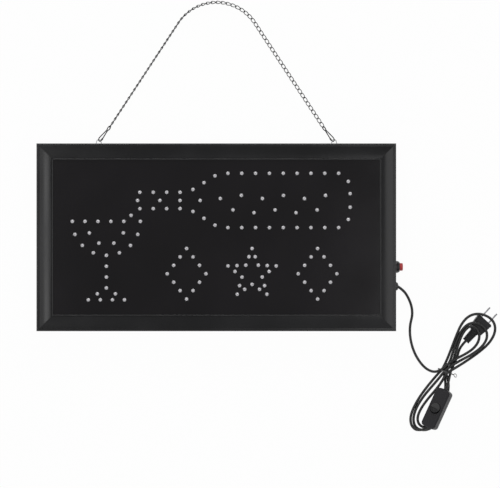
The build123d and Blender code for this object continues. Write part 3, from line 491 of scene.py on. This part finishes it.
def plain_floor(tint):
    """A wide matt floor that shows the sign's shadow and is otherwise nearly white."""
    shape = bmesh.new()
    corners = [(-1, -1), (1, -1), (1, 1), (-1, 1)]
    shape.faces.new([shape.verts.new((x * FLOOR_REACH, y * FLOOR_REACH, 0)) for x, y in corners])
    data = bpy.data.meshes.new("studio_floor")
    shape.to_mesh(data)
    shape.free()
    floor = bpy.data.objects.new("studio_floor", data)
    floor.location.z = -FLOOR_DROP
    material, nodes, links, shader = blank("studio_floor")
    shader.inputs["Base Color"].default_value = (*tint, 1)
    shader.inputs["Roughness"].default_value = 0.9
    shader.inputs["Specular IOR Level"].default_value = 0.0
    rays_seen = ("Camera", "Glossy", "Transmission")
    links.new(
        show_white(material.node_tree, shader.outputs["BSDF"], rays_seen, FLOOR_WHITE),
        nodes["Material Output"].inputs["Surface"],
    )
    data.materials.append(material)
    return floor


class SIGN_OT_stage(bpy.types.Operator):
    """Lay the floor, hang the lamps and set up the camera above the sign"""

    bl_idname = "window_sign.stage"
    bl_label = "Studio"

    def execute(self, context):
        studio = context.scene.sign_studio
        scene = context.scene
        scene.view_settings.view_transform = "Standard"

        lens = bpy.data.cameras.new("studio_camera")
        lens.lens = studio.lens
        lens.sensor_width = SENSOR_WIDTH
        lens.clip_end = CLIP_END
        camera = bpy.data.objects.new("studio_camera", lens)
        camera.location = Vector(studio.aim) + UP * (studio.view_width * lens.lens / SENSOR_WIDTH)
        scene.collection.objects.link(camera)
        scene.camera = camera

        scene.world = white_surroundings(studio.sky)
        floor = plain_floor(studio.floor)
        scene.collection.objects.link(floor)

        for name, place, size, source, share in LAMPS:
            lamp = bpy.data.lights.new(name, "AREA")
            lamp.shape = "RECTANGLE"
            lamp.size, lamp.size_y = size
            lamp.energy = getattr(studio, source) * share
            holder = bpy.data.objects.new(name, lamp)
            holder.location = place
            holder.rotation_euler = (-Vector(place)).to_track_quat("-Z", "Y").to_euler()
            scene.collection.objects.link(holder)
        return {"FINISHED"}


# ---------------------------------------------------------------- cord

# Routes of the cord's middle: from the gland to the hank, from the hank to the switch and from the
# hank to the plug
LOOSE_ROUTE = [
    (0.2443, -0.0661, 0.0091),
    (0.2524, -0.0715, 0.0083),
    (0.2590, -0.0815, 0.0060),
    (0.2638, -0.0935, 0.0034),
    (0.2648, -0.1055, 0.0019),
    (0.2615, -0.1180, 0.0018),
    (0.2612, -0.1320, 0.0018),
    (0.2640, -0.1470, 0.0018),
    (0.2698, -0.1612, 0.0018),
    (0.2785, -0.1735, 0.0024),
    (0.2870, -0.1800, 0.0046),
    (0.2956, -0.1820, 0.0066),
]
SWEEP_ROUTE = [
    (0.2996, -0.1839, 0.0024),
    (0.2864, -0.1995, 0.0018),
    (0.2756, -0.2139, 0.0018),
    (0.2684, -0.2259, 0.0018),
    (0.2636, -0.2367, 0.0018),
    (0.2617, -0.2455, 0.0032),
    (0.2630, -0.2545, 0.0062),
    (0.2698, -0.2607, 0.0088),
]
LEAD_ROUTE = [
    (0.3212, -0.1706, 0.0019),
    (0.3254, -0.1616, 0.0019),
    (0.3272, -0.1533, 0.0034),
    (0.3307, -0.1459, 0.0062),
    (0.3361, -0.1400, 0.0075),
]
NECK = Vector((0.3075, -0.1805, 0))  # where the tie holds the strands together
NECK_REACH = (0.016, 0.044)  # strands leave their layer between these distances from the tie
NECK_FADE = 0.050  # and their place in it by this distance
LOW, HIGH = 0.0023, 0.0064  # heights of the two layers of strands under the tie
CROSSING = {LOW: radians(75), HIGH: radians(37)}  # line along which a layer's strands cross the neck
TURN_STEPS = 16
TURNS = (
    # The (layer, strand) that crosses the neck, that the turn leaves by and that it comes back by,
    # azimuth in degrees, reach, (half width, taper) out and back, lean, side
    ((HIGH, 1), (HIGH, 1), (LOW, -1.4), 37.7, 0.0695, (0.0224, 2.6), (0.0218, 2.9), 0.0193, -1),
    ((LOW, -0.5), (LOW, -1.4), (HIGH, 0), 245.6, 0.0865, (0.0275, 0.9), (0.0212, 1.7), 0.001, 1),
    ((HIGH, 0), (HIGH, 0), (LOW, -0.4), 51.6, 0.0800, (0.0278, 2.0), (0.0292, 2.4), -0.0009, -1),
    ((LOW, 0.5), (LOW, -0.4), (HIGH, -1), 245.6, 0.0815, (0.0215, 1.0), (0.0208, 3.6), 0.004, 1),
    ((HIGH, -1), (HIGH, -1), (LOW, 0.9), 53.9, 0.0945, (0.0300, 1.3), (0.0390, 2.1), -0.0062, -1),
)
LAST_CROSSING = (LOW, 0.9)
LEAD_CROSSING = (LOW, -2.4)
PLUG_AZIMUTH = radians(47.6)
PLUG_OUTLINE = (  # from and to along the plug, half width, top
    (0.0, 0.017, 0.0068, 0.0123),
    (0.017, 0.039, 0.012, 0.0150),
    (0.039, 0.0555, 0.0072, 0.0107),
)
PLUG_CLEARANCE = 0.0006
PLUG_RAMP = (0.0025, 0.028)  # a strand rises to the plug's top over this distance beside it
SWITCH_HALF = 0.0285
SEAM_BELOW_PIVOT = 0.0054
CORD_TURNS_IN = 0.0006  # the long cord turns towards the switch this far before it
CORD_INSIDE = 0.0070  # and ends this far inside
LEAD_INSIDE = 0.003
LEAD_STRAIGHT = 0.005
LEAD_BEFORE_NECK = 0.002
LEAD_PAST_NECK = 0.003
TIE_AZIMUTH = radians(-22)
TIE_HALF_WIDTH = 0.0088
TIE_HALF_HEIGHT = 0.0035
TIE_ROUNDS = 2
TIE_STEPS = 28
TAIL_LENGTH = 0.0095
TAIL_STEPS = 20
TAIL_TURNS = 2.5  # turns of its two wires, were it twisted all along
TAIL_TWISTED = 0.6  # share of its length that is twisted
TAIL_GAP = 0.55  # from its middle to each wire's, in wire diameters
TAIL_OPENS = 0.55  # share of its length at which the loop opens
TAIL_LOOP = 3.6  # growth of the gap in the middle of the loop


def ease(value):
    """Smooth rise from 0 to 1."""
    value = min(1, max(0, value))
    return value * value * (3 - 2 * value)


def level(azimuth):
    """Level direction at an azimuth."""
    return Vector((cos(azimuth), sin(azimuth), 0))


def neck_place(place, pitch):
    """Where a (layer, strand) crosses the neck. Strands count from the middle, to the left of its line."""
    layer, strand = place
    return NECK + level(CROSSING[layer] + pi / 2) * strand * pitch + UP * layer


def resting_height(point, lying, diameter):
    """Height of a strand's middle: on the floor, or over the plug where it crosses it."""
    start = Vector(LEAD_ROUTE[-1])
    along = (point - start).dot(level(PLUG_AZIMUTH))
    across = abs((point - start).dot(level(PLUG_AZIMUTH + pi / 2)))
    height = lying
    for low, high, half, top in PLUG_OUTLINE:
        outside = max(low - along, along - high, across - half, 0)
        over = top + diameter / 2 + PLUG_CLEARANCE
        height = max(height, lying + (over - lying) * ease(1 - (outside - PLUG_RAMP[0]) / PLUG_RAMP[1]))
    return height


def turn(leaves, returns, azimuth, reach, out, back, lean, side, cord):
    """Control points of one loose turn that leaves the neck and comes back to it.

    out and back are each half's (half width, taper), side is 1 when the turn leaves by the left
    of its own line, and lean moves its far end to that line's left. The steps next to the neck
    are left out, where strands lie too close for them.
    """
    points = []
    lying = cord.diameter / 2
    for step in range(2, TURN_STEPS - 1):
        angle = 2 * pi * step / TURN_STEPS
        leaving = step < TURN_STEPS / 2
        half_width, taper = out if leaving else back
        end = leaves if leaving else returns
        path = level(azimuth) * reach * (1 - cos(angle)) / 2
        fade = 1 - ease(path.length / NECK_FADE)
        point = (
            NECK
            + (end - NECK) * fade
            + path
            + level(azimuth + pi / 2)
            * (side * half_width * sin(angle) * sin(angle / 2) ** taper + lean * sin(angle / 2) ** 2)
        )
        held = 1 - ease((path.length - NECK_REACH[0]) / (NECK_REACH[1] - NECK_REACH[0]))
        point.z = max(resting_height(point, lying, cord.diameter), lying + (end.z - lying) * held)
        points.append(point)
    return points


def switch_place():
    """Middle of the switch's seam and its direction along the cord."""
    rocker = next(joint for joint in frame["joints"] if joint["name"] == "rocker_tilt")
    across = Vector(rocker["axis"]).normalized()
    along = UP.cross(across).normalized()
    upright = across.cross(along)
    if upright.z < 0:
        upright.negate()
    return Vector(rocker["pos_m"]) - upright * SEAM_BELOW_PIVOT, along


def add_cord(name, points, material, nodes, cord):
    """A cord as one smooth open curve."""
    data = bpy.data.curves.new(name, "CURVE")
    data.dimensions = "3D"
    data.bevel_depth = cord.diameter / 2
    data.bevel_resolution = 5
    data.resolution_u = 14
    data.use_fill_caps = True
    spline = data.splines.new("NURBS")
    spline.points.add(len(points) - 1)
    for control, point in zip(spline.points, points):
        control.co = (*point, 1)
    spline.order_u = 3
    spline.use_endpoint_u = True
    data.materials.append(material)
    return place_piece(name, data, SIGN_BODY, nodes)


def long_run(cord, seam, along):
    """Control points from the gland through the tied turns into the switch."""
    run = [Vector(point) for point in LOOSE_ROUTE]
    for crosses, leaves, returns, azimuth, *shape_of_turn in TURNS:
        run.append(neck_place(crosses, cord.pitch))
        ends = neck_place(leaves, cord.pitch), neck_place(returns, cord.pitch)
        run += turn(*ends, radians(azimuth), *shape_of_turn, cord)
    run.append(neck_place(LAST_CROSSING, cord.pitch))
    run += [Vector(point) for point in SWEEP_ROUTE]
    run.append(seam - along * (SWITCH_HALF + CORD_TURNS_IN))
    run.append(seam - along * (SWITCH_HALF - CORD_INSIDE))
    return run


def lead_run(cord, seam, along):
    """Control points from the switch past the neck to the plug."""
    leaves_switch = seam + along * (SWITCH_HALF + LEAD_STRAIGHT)
    at_neck = neck_place(LEAD_CROSSING, cord.pitch)
    neck_line = level(CROSSING[LOW])
    return [
        seam + along * (SWITCH_HALF - LEAD_INSIDE),
        leaves_switch,
        leaves_switch.lerp(at_neck, 0.5),
        at_neck - neck_line * LEAD_BEFORE_NECK,
        at_neck + neck_line * LEAD_PAST_NECK,
        *[Vector(point) for point in LEAD_ROUTE],
    ]


def twist_tie(wire):
    """Rounds of wire about the strands and a twisted tail that ends in an open loop."""
    shape = bmesh.new()
    across = level(TIE_AZIMUTH)
    middle = NECK + UP * (LOW + HIGH) / 2
    line = []
    for i in range(TIE_ROUNDS * TIE_STEPS + 1):
        rounds = i / TIE_STEPS
        angle = 2 * pi * rounds
        line.append(
            middle
            + across * TIE_HALF_WIDTH * squared(cos(angle), 0.6)
            + UP * TIE_HALF_HEIGHT * squared(sin(angle), 0.7)
            + level(TIE_AZIMUTH + pi / 2) * wire * (rounds - TIE_ROUNDS / 2)
        )
    sweep(shape, line, wire / 2)
    for strand in (0, pi):
        tail = []
        for i in range(TAIL_STEPS):
            t = i / (TAIL_STEPS - 1)
            angle = 2 * pi * TAIL_TURNS * min(t, TAIL_TWISTED) + strand
            opened = 1 + TAIL_LOOP * sin(pi * max(0, (t - TAIL_OPENS) / (1 - TAIL_OPENS)))
            tail.append(
                middle
                + across * (TIE_HALF_WIDTH + TAIL_LENGTH * t)
                + Vector((0, cos(angle), sin(angle))) * wire * TAIL_GAP * opened
            )
        sweep(shape, tail, wire / 2)
    return shape


class SIGN_OT_cords(bpy.types.Operator):
    """Lay the cord from the gland to the switch and on to the plug, and tie it"""

    bl_idname = "window_sign.cords"
    bl_label = "Cord"

    def execute(self, context):
        cord = context.scene.sign_cord
        finishes = context.scene.sign_finishes
        sheath = finish(
            "cord_sheath", finishes.cord, (0.38, 0.46), change=0.15, grain=120, relief=0.000004, cloud=40
        )
        seam, along = switch_place()
        run = long_run(cord, seam, along)
        long_cord = add_cord(
            "mains_cord_run", run, sheath, ["mains_cord", "cord_hank_upper", "cord_hank_lower"], cord
        )

        lead = lead_run(cord, seam, along)
        short_cord = add_cord("plug_cord_run", lead, sheath, ["cord_plug_lead"], cord)

        sleeve = finish("tie_sleeve", (0.08, 0.08, 0.08), (0.25, 0.4), relief=0.00001)
        add_piece("cord_twist_tie", twist_tie(cord.tie_wire), sleeve, SIGN_BODY, ["twist_tie"])
        return {"FINISHED"}


# ---------------------------------------------------------------- frame, panels and lamps

DOME_SHARE = 0.94  # a lens's dome within its rim


class SIGN_OT_frame(bpy.types.Operator):
    """Lacquer the frame and finish the face and back panels"""

    bl_idname = "window_sign.frame"
    bl_label = "Frame and panels"

    def execute(self, context):
        finishes = context.scene.sign_finishes
        lacquer = finish(
            "frame_lacquer", finishes.frame, (0.16, 0.26), change=0.2, grain=700, relief=0.000012, cloud=12
        )
        for side in ("top", "left", "bottom", "right"):
            coat(f"frame_rail_{side}", lacquer)
        coat(
            "front_panel",
            finish(
                "face_acrylic", finishes.panel, (0.09, 0.13), change=0.25, grain=1200, relief=0.000004,
                cloud=9,
            ),
        )
        coat(
            "back_panel",
            finish(
                "back_board", finishes.back, (0.5, 0.7), change=0.2, grain=1800, relief=0.00004, cloud=15
            ),
        )
        bright = finish(
            "screw_zinc", finishes.steel, (0.25, 0.4), change=0.15, metal=1.0, grain=2500, relief=0.00001
        )
        for node in ("back_panel_screws", "board_screws", "switch_screws"):
            coat(node, bright)
        coat("corner_keys", finish("key_zinc", finishes.steel, (0.35, 0.5), metal=1.0))
        return {"FINISHED"}


class SIGN_OT_lamps(bpy.types.Operator):
    """Set a smooth round lens on each lamp"""

    bl_idname = "window_sign.lamps"
    bl_label = "Lamps"

    def execute(self, context):
        lamps = context.scene.sign_lamps
        resin = lens_finish("lamp_resin", context.scene.sign_finishes.lens)
        for name in ("glass", "bottle", "motifs"):
            node = f"leds_{name}"
            shape = bmesh.new()
            lenses = []
            for corners in solids_of(node):
                low = corners.min(0)
                high = corners.max(0)
                middle = (low + high) / 2
                radius = (high[0] - low[0]) / 2
                dome = radius * DOME_SHARE
                rise = high[2] - low[2]
                shoulder = max(lamps.collar, rise - dome)
                profile = [(0, 0), (0, radius), (lamps.collar, radius), (lamps.collar, dome)]
                for i in range(lamps.bands + 1):
                    angle = pi / 2 * i / lamps.bands
                    reach = dome * cos(angle) if i < lamps.bands else 0
                    profile.append((shoulder + (rise - shoulder) * sin(angle), reach))
                foot = Matrix.Translation((middle[0], middle[1], low[2]))
                turn_profile(shape, profile, foot, lamps.sides)
                lenses.append((Vector(middle[:2]), radius))
            piece = add_piece(f"lamp_lenses_{name}", shape, resin, SIGN_BODY, [node])
            per_lens = len(piece.data.vertices) // len(lenses)
            shares = []
            for i, vertex in enumerate(piece.data.vertices):
                centre, radius = lenses[i // per_lens]
                shares.append((vertex.co.xy - centre).length / radius)
            piece.data.attributes.new("radius_share", "FLOAT", "POINT").data.foreach_set("value", shares)
        return {"FINISHED"}


# ---------------------------------------------------------------- hanger and chain

CLIP_OUTLINE = (  # share of the clip's length, share of its half width
    (0.0, 0.30),
    (0.03, 0.72),
    (0.10, 1.0),
    (0.19, 0.98),
    (0.32, 0.84),
    (0.52, 0.56),
    (0.70, 0.33),
    (0.77, 0.42),
    (0.84, 0.66),
    (0.92, 0.66),
    (0.985, 0.34),
)
CLIP_COLLAR = ((0.12, 1.0), (0.18, 0.99), (0.25, 0.92))  # the clasp, in the same shares
COLLAR_GROWTH = 1.56  # how many times thicker the clasp is than the wire
BAIL_FOOT = 0.003  # length of the bail's feet inside the rail
BAIL_TAPER = 4.6 / 8.4  # width of a bail's crown over the width of its base
BAIL_CORNER = 0.0011
LINK_STEPS = 24
LINK_HALF_WIDTH = 0.0021
LINK_LIFT = 0.0003  # keeps the links' wire off the floor


def clip_line(place, reach, half, outline):
    """Points of a clip's wire, from shares of its length and of its half width."""
    return [place @ Vector((reach * (share - 0.5), half * width, 0)) for share, width in outline]


class SIGN_OT_hangers(bpy.types.Operator):
    """Bend the wire bails and snap clips"""

    bl_idname = "window_sign.hangers"
    bl_label = "Bails and clips"

    def execute(self, context):
        wires = context.scene.sign_wires
        finishes = context.scene.sign_finishes
        bright = finish(
            "bail_steel", finishes.bail, (0.3, 0.42), change=0.1, metal=0.6, grain=3000, relief=0.000004
        )
        dark = finish(
            "clip_steel", finishes.wire, (0.3, 0.42), change=0.3, metal=0.3, grain=3000, relief=0.000004
        )
        bails = bmesh.new()
        clips = bmesh.new()
        for side in ("left", "right"):
            low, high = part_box(f"hanging_bail_{side}")
            radius = wires.bail / 2
            middle = (low.x + high.x) / 2
            foot = (high.x - low.x) / 2
            base = foot - BAIL_FOOT
            crown = base * BAIL_TAPER
            pivot_y, crown_y = low.y + radius, high.y - radius
            pivot_z, crown_z = high.z - radius, low.z + radius
            corners = [
                Vector((middle - foot, pivot_y, pivot_z)),
                Vector((middle - base, pivot_y, pivot_z)),
                Vector((middle - crown, crown_y, crown_z)),
                Vector((middle + crown, crown_y, crown_z)),
                Vector((middle + base, pivot_y, pivot_z)),
                Vector((middle + foot, pivot_y, pivot_z)),
            ]
            sweep(bails, rounded(corners, BAIL_CORNER), radius)

            place, size = own_frame(solids_of(f"snap_clip_{side}")[0])
            if (place.to_3x3() @ Vector((1, 0, 0))).y < 0:
                place = place @ Matrix.Rotation(pi, 4, "Z")
            reach = size.x - wires.clip
            half = (size.y - wires.clip) / 2
            there = clip_line(place, reach, half, CLIP_OUTLINE)
            back = clip_line(place, reach, -half, CLIP_OUTLINE)
            sweep(clips, smoothed(there + back[::-1], 4), wires.clip / 2, 10, closed=True)
            collar = clip_line(place, reach, half, CLIP_COLLAR)
            sweep(clips, collar, wires.clip / 2 * COLLAR_GROWTH, 12)
        add_piece("wire_bails", bails, bright, "bails", ["hanging_bail_left", "hanging_bail_right"])
        add_piece("wire_clips", clips, dark, "clips", ["snap_clip_left", "snap_clip_right"])
        return {"FINISHED"}


class SIGN_OT_chain(bpy.types.Operator):
    """Join the twisted links of the chain"""

    bl_idname = "window_sign.chain"
    bl_label = "Chain"

    def execute(self, context):
        wires = context.scene.sign_wires
        dark = finish(
            "chain_steel", context.scene.sign_finishes.wire, (0.28, 0.4), change=0.4, metal=0.3,
            grain=2500, relief=0.000004, cloud=400,
        )
        for run, body in (("left", "chain_sides"), ("right", "chain_sides"), ("crown", "chain_crown")):
            shape = bmesh.new()
            for corners in solids_of(f"chain_{run}"):
                place, size = own_frame(corners)
                half = (size.x - wires.link) / 2
                line = []
                for i in range(LINK_STEPS):
                    angle = 2 * pi * (i + 0.5) / LINK_STEPS
                    along = half * squared(cos(angle), 0.85)
                    aside = LINK_HALF_WIDTH * squared(sin(angle), 0.75)
                    twist = wires.twist * along / half
                    line.append(
                        place @ Vector((along, aside * cos(twist), aside * sin(twist))) + UP * LINK_LIFT
                    )
                sweep(shape, line, wires.link / 2, 7, closed=True)
            add_piece(f"chain_links_{run}", shape, dark, body, [f"chain_{run}"])
        return {"FINISHED"}


# ---------------------------------------------------------------- fittings, switch, plug and board

BEZEL_GROWTH = 0.0008  # how much further out the bezel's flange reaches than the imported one
STEM_HOLE = 0.0037
CAP_RECESS = 0.00545
CAP_STEM = 0.0021
CAP_SKIRT = 0.0051  # distance from the wall to the foot of the cap
GLAND_GROWTH = 1.3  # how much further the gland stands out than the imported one
GLAND_STEM = 0.004
RELIEF_RIBS = 7
RELIEF_STEPS = 7  # rings for each rib
RELIEF_SIDES = 24
RELIEF_LENGTH = 0.017
RELIEF_GROOVE = 0.00045
RELIEF_WIDTH = (0.0050, 0.0058)  # half widths at the cord and at the plug
RELIEF_HEIGHT = (0.0037, 0.0046)


def out_of_wall(x, low, high):
    """Place of a turned piece on the right-hand wall, with its axis outwards."""
    return Matrix.Translation((x, (low.y + high.y) / 2, (low.z + high.z) / 2)) @ Matrix.Rotation(
        pi / 2, 4, "Y"
    )


class SIGN_OT_fittings(bpy.types.Operator):
    """Turn the push button, its bezel and the cord gland"""

    bl_idname = "window_sign.fittings"
    bl_label = "Button and gland"

    def execute(self, context):
        finishes = context.scene.sign_finishes
        plastic = finish(
            "fitting_plastic", finishes.moulding, (0.16, 0.3), change=0.2, grain=1600, relief=0.00001
        )
        red = finish("cap_plastic", finishes.cap, (0.25, 0.38), change=0.12, grain=1500, relief=0.00001)

        low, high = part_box("button_bezel")
        wall = low.x
        radius = (high.y - low.y) / 2 + BEZEL_GROWTH
        depth = high.x - wall
        seat = depth - 0.0026
        shape = bmesh.new()
        turn_profile(
            shape,
            [
                (0, STEM_HOLE), (0, radius - 0.0003), (0.0003, radius), (0.0009, radius),
                (0.0012, radius - 0.0002), (depth * 0.55, radius - 0.0005), (depth * 0.8, radius - 0.0012),
                (depth * 0.95, radius - 0.0017), (depth, radius - 0.0022), (depth, CAP_RECESS + 0.0001),
                (depth - 0.0003, CAP_RECESS), (seat, CAP_RECESS), (seat, STEM_HOLE), (0, STEM_HOLE),
            ],
            out_of_wall(wall, low, high),
        )
        add_piece("button_bezel_ring", shape, plastic, SIGN_BODY, ["button_bezel"])

        low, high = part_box("button_cap")
        radius = (high.y - low.y) / 2
        stem = low.x - high.x
        skirt = wall + CAP_SKIRT - high.x
        shape = bmesh.new()
        turn_profile(
            shape,
            [
                (stem, 0), (stem, CAP_STEM), (skirt, CAP_STEM), (skirt, radius),
                (-0.0010, radius), (-0.0005, radius - 0.00015), (-0.00015, radius - 0.0005),
                (0, radius - 0.0010), (-0.0001, radius - 0.0016), (-0.0004, radius * 0.35), (-0.00045, 0),
            ],
            out_of_wall(high.x, low, high),
        )
        add_piece("button_cap_red", shape, red, "button", ["button_cap"])

        low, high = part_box("cord_gland")
        radius = (high.y - low.y) / 2
        rise = (high.x - wall) * GLAND_GROWTH
        stem = low.x - wall
        shape = bmesh.new()
        turn_profile(
            shape,
            [
                (stem, 0), (stem, GLAND_STEM), (0, GLAND_STEM), (0, radius - 0.0002),
                (0.0003, radius), (0.0010, radius), (rise * 0.6, radius - 0.0006),
                (rise * 0.85, radius - 0.0016), (rise * 0.97, radius - 0.0030),
                (rise, radius - 0.0036), (rise, 0.0021), (rise - 0.0004, 0.0019), (rise - 0.0004, 0),
            ],
            out_of_wall(wall, low, high),
        )
        add_piece("cord_gland_ring", shape, plastic, SIGN_BODY, ["cord_gland"])
        coat("button_case", plastic)
        return {"FINISHED"}


def ribbed_relief():
    """The plug's strain relief: a squared sleeve that widens to the plug, grooved between its ribs."""
    axes = (level(PLUG_AZIMUTH), level(PLUG_AZIMUTH + pi / 2), UP)
    place = Matrix.Translation(LEAD_ROUTE[-1]) @ Matrix(axes).transposed().to_4x4()
    shape = bmesh.new()
    rings = []
    steps = RELIEF_STEPS * RELIEF_RIBS
    for i in range(steps + 1):
        t = i / steps
        grooved = 0.05 < t < 0.95 and i % RELIEF_STEPS in (0, 1, RELIEF_STEPS - 1)
        groove = RELIEF_GROOVE if grooved else 0
        half_width = RELIEF_WIDTH[0] + (RELIEF_WIDTH[1] - RELIEF_WIDTH[0]) * t - groove
        half_height = RELIEF_HEIGHT[0] + (RELIEF_HEIGHT[1] - RELIEF_HEIGHT[0]) * t - groove
        ring = []
        for j in range(RELIEF_SIDES):
            angle = 2 * pi * (j + 0.5) / RELIEF_SIDES
            wide = half_width * squared(cos(angle), 0.5)
            tall = half_height * squared(sin(angle), 0.5)
            ring.append(shape.verts.new(place @ Vector((RELIEF_LENGTH * t, wide, tall))))
        rings.append(ring)
    join_rings(shape, rings)
    shape.faces.new(rings[0])
    shape.faces.new(rings[-1])
    return shape


class SIGN_OT_switch_and_plug(bpy.types.Operator):
    """Finish the inline switch and the plug"""

    bl_idname = "window_sign.switch_and_plug"
    bl_label = "Switch and plug"

    def execute(self, context):
        finishes = context.scene.sign_finishes
        housing = finish(
            "switch_plastic", finishes.switch, (0.34, 0.46), change=0.15, grain=1400, relief=0.00002,
            specular=0.25,
        )
        for node in ("switch_base", "switch_cover"):
            coat(node, housing)
        coat(
            "switch_rocker",
            finish(
                "rocker_plastic", finishes.moulding, (0.2, 0.32), change=0.15, grain=1400, relief=0.00002
            ),
        )
        rubber = finish(
            "plug_rubber", finishes.moulding, (0.34, 0.46), change=0.25, grain=1300, relief=0.00002,
            specular=0.3,
        )
        coat("plug_body", rubber)
        relief = ribbed_relief()
        add_piece("plug_relief_ribbed", relief, rubber, SIGN_BODY, ["plug_strain_relief"])
        coat(
            "plug_blades",
            finish(
                "blade_nickel", finishes.blade, (0.22, 0.34), change=0.1, metal=0.8, grain=2500,
                relief=0.000004,
            ),
        )
        brass = finish("contact_brass", (0.30, 0.21, 0.09), (0.3, 0.45), change=0.1, metal=1.0)
        for node in ("switch_contacts", "rocker_pin"):
            coat(node, brass)
        return {"FINISHED"}


class SIGN_OT_board(bpy.types.Operator):
    """Finish the control board and what stands on it"""

    bl_idname = "window_sign.board"
    bl_label = "Control board"

    def execute(self, context):
        finishes = context.scene.sign_finishes
        coat("control_board", finish("solder_mask", finishes.board, (0.25, 0.4), change=0.2, cloud=120))
        coat("board_standoffs", finish("standoff_nylon", (0.55, 0.54, 0.5), (0.4, 0.55), change=0.08))
        coat("film_capacitor", finish("capacitor_film", (0.35, 0.05, 0.02), (0.25, 0.4), change=0.1))
        coat("smoothing_capacitor", finish("capacitor_can", (0.6, 0.6, 0.62), (0.2, 0.35), metal=1.0))
        coat("terminal_block", finish("terminal_green", (0.03, 0.22, 0.07), (0.35, 0.5), change=0.1))
        coat("dropper_resistors", finish("resistor_body", (0.12, 0.3, 0.42), (0.4, 0.55), change=0.15))
        epoxy = finish("chip_epoxy", (0.018, 0.018, 0.018), (0.45, 0.6), change=0.1)
        for node in ("flasher_chip", "rectifier_diodes"):
            coat(node, epoxy)
        return {"FINISHED"}


# ---------------------------------------------------------------- panel and registration


class SIGN_PT_sidebar(bpy.types.Panel):
    """The sign's sizes, finishes and build steps"""

    bl_idname = "SIGN_PT_sidebar"
    bl_label = "Window Sign"
    bl_space_type = "VIEW_3D"
    bl_region_type = "UI"
    bl_category = "Window Sign"

    def draw(self, context):
        for title, group in GROUPS.items():
            box = self.layout.box()
            box.label(text=title.replace("_", " ").capitalize())
            for name in group.__annotations__:
                box.prop(getattr(context.scene, title), name)
        for step in STEPS:
            self.layout.operator(step.bl_idname)


GROUPS = {
    "sign_finishes": SignFinishes,
    "sign_lamps": SignLamps,
    "sign_wires": SignWires,
    "sign_cord": SignCord,
    "sign_studio": SignStudio,
}
STEPS = (
    SIGN_OT_stage,
    SIGN_OT_cords,
    SIGN_OT_frame,
    SIGN_OT_lamps,
    SIGN_OT_hangers,
    SIGN_OT_chain,
    SIGN_OT_fittings,
    SIGN_OT_switch_and_plug,
    SIGN_OT_board,
)


def register():
    """Add the property groups, operators and panel."""
    for name, group in GROUPS.items():
        bpy.utils.register_class(group)
        setattr(bpy.types.Scene, name, PointerProperty(type=group))
    for step in STEPS:
        bpy.utils.register_class(step)
    bpy.utils.register_class(SIGN_PT_sidebar)


def unregister():
    """Take them away again."""
    bpy.utils.unregister_class(SIGN_PT_sidebar)
    for step in reversed(STEPS):
        bpy.utils.unregister_class(step)
    for name, group in GROUPS.items():
        delattr(bpy.types.Scene, name)
        bpy.utils.unregister_class(group)


def main():
    """Build the whole sign."""
    register()
    bpy.ops.window_sign.stage()
    bpy.ops.window_sign.cords()
    bpy.ops.window_sign.frame()
    bpy.ops.window_sign.lamps()
    bpy.ops.window_sign.hangers()
    bpy.ops.window_sign.chain()
    bpy.ops.window_sign.fittings()
    bpy.ops.window_sign.switch_and_plug()
    bpy.ops.window_sign.board()


if __name__ == "__main__":
    main()
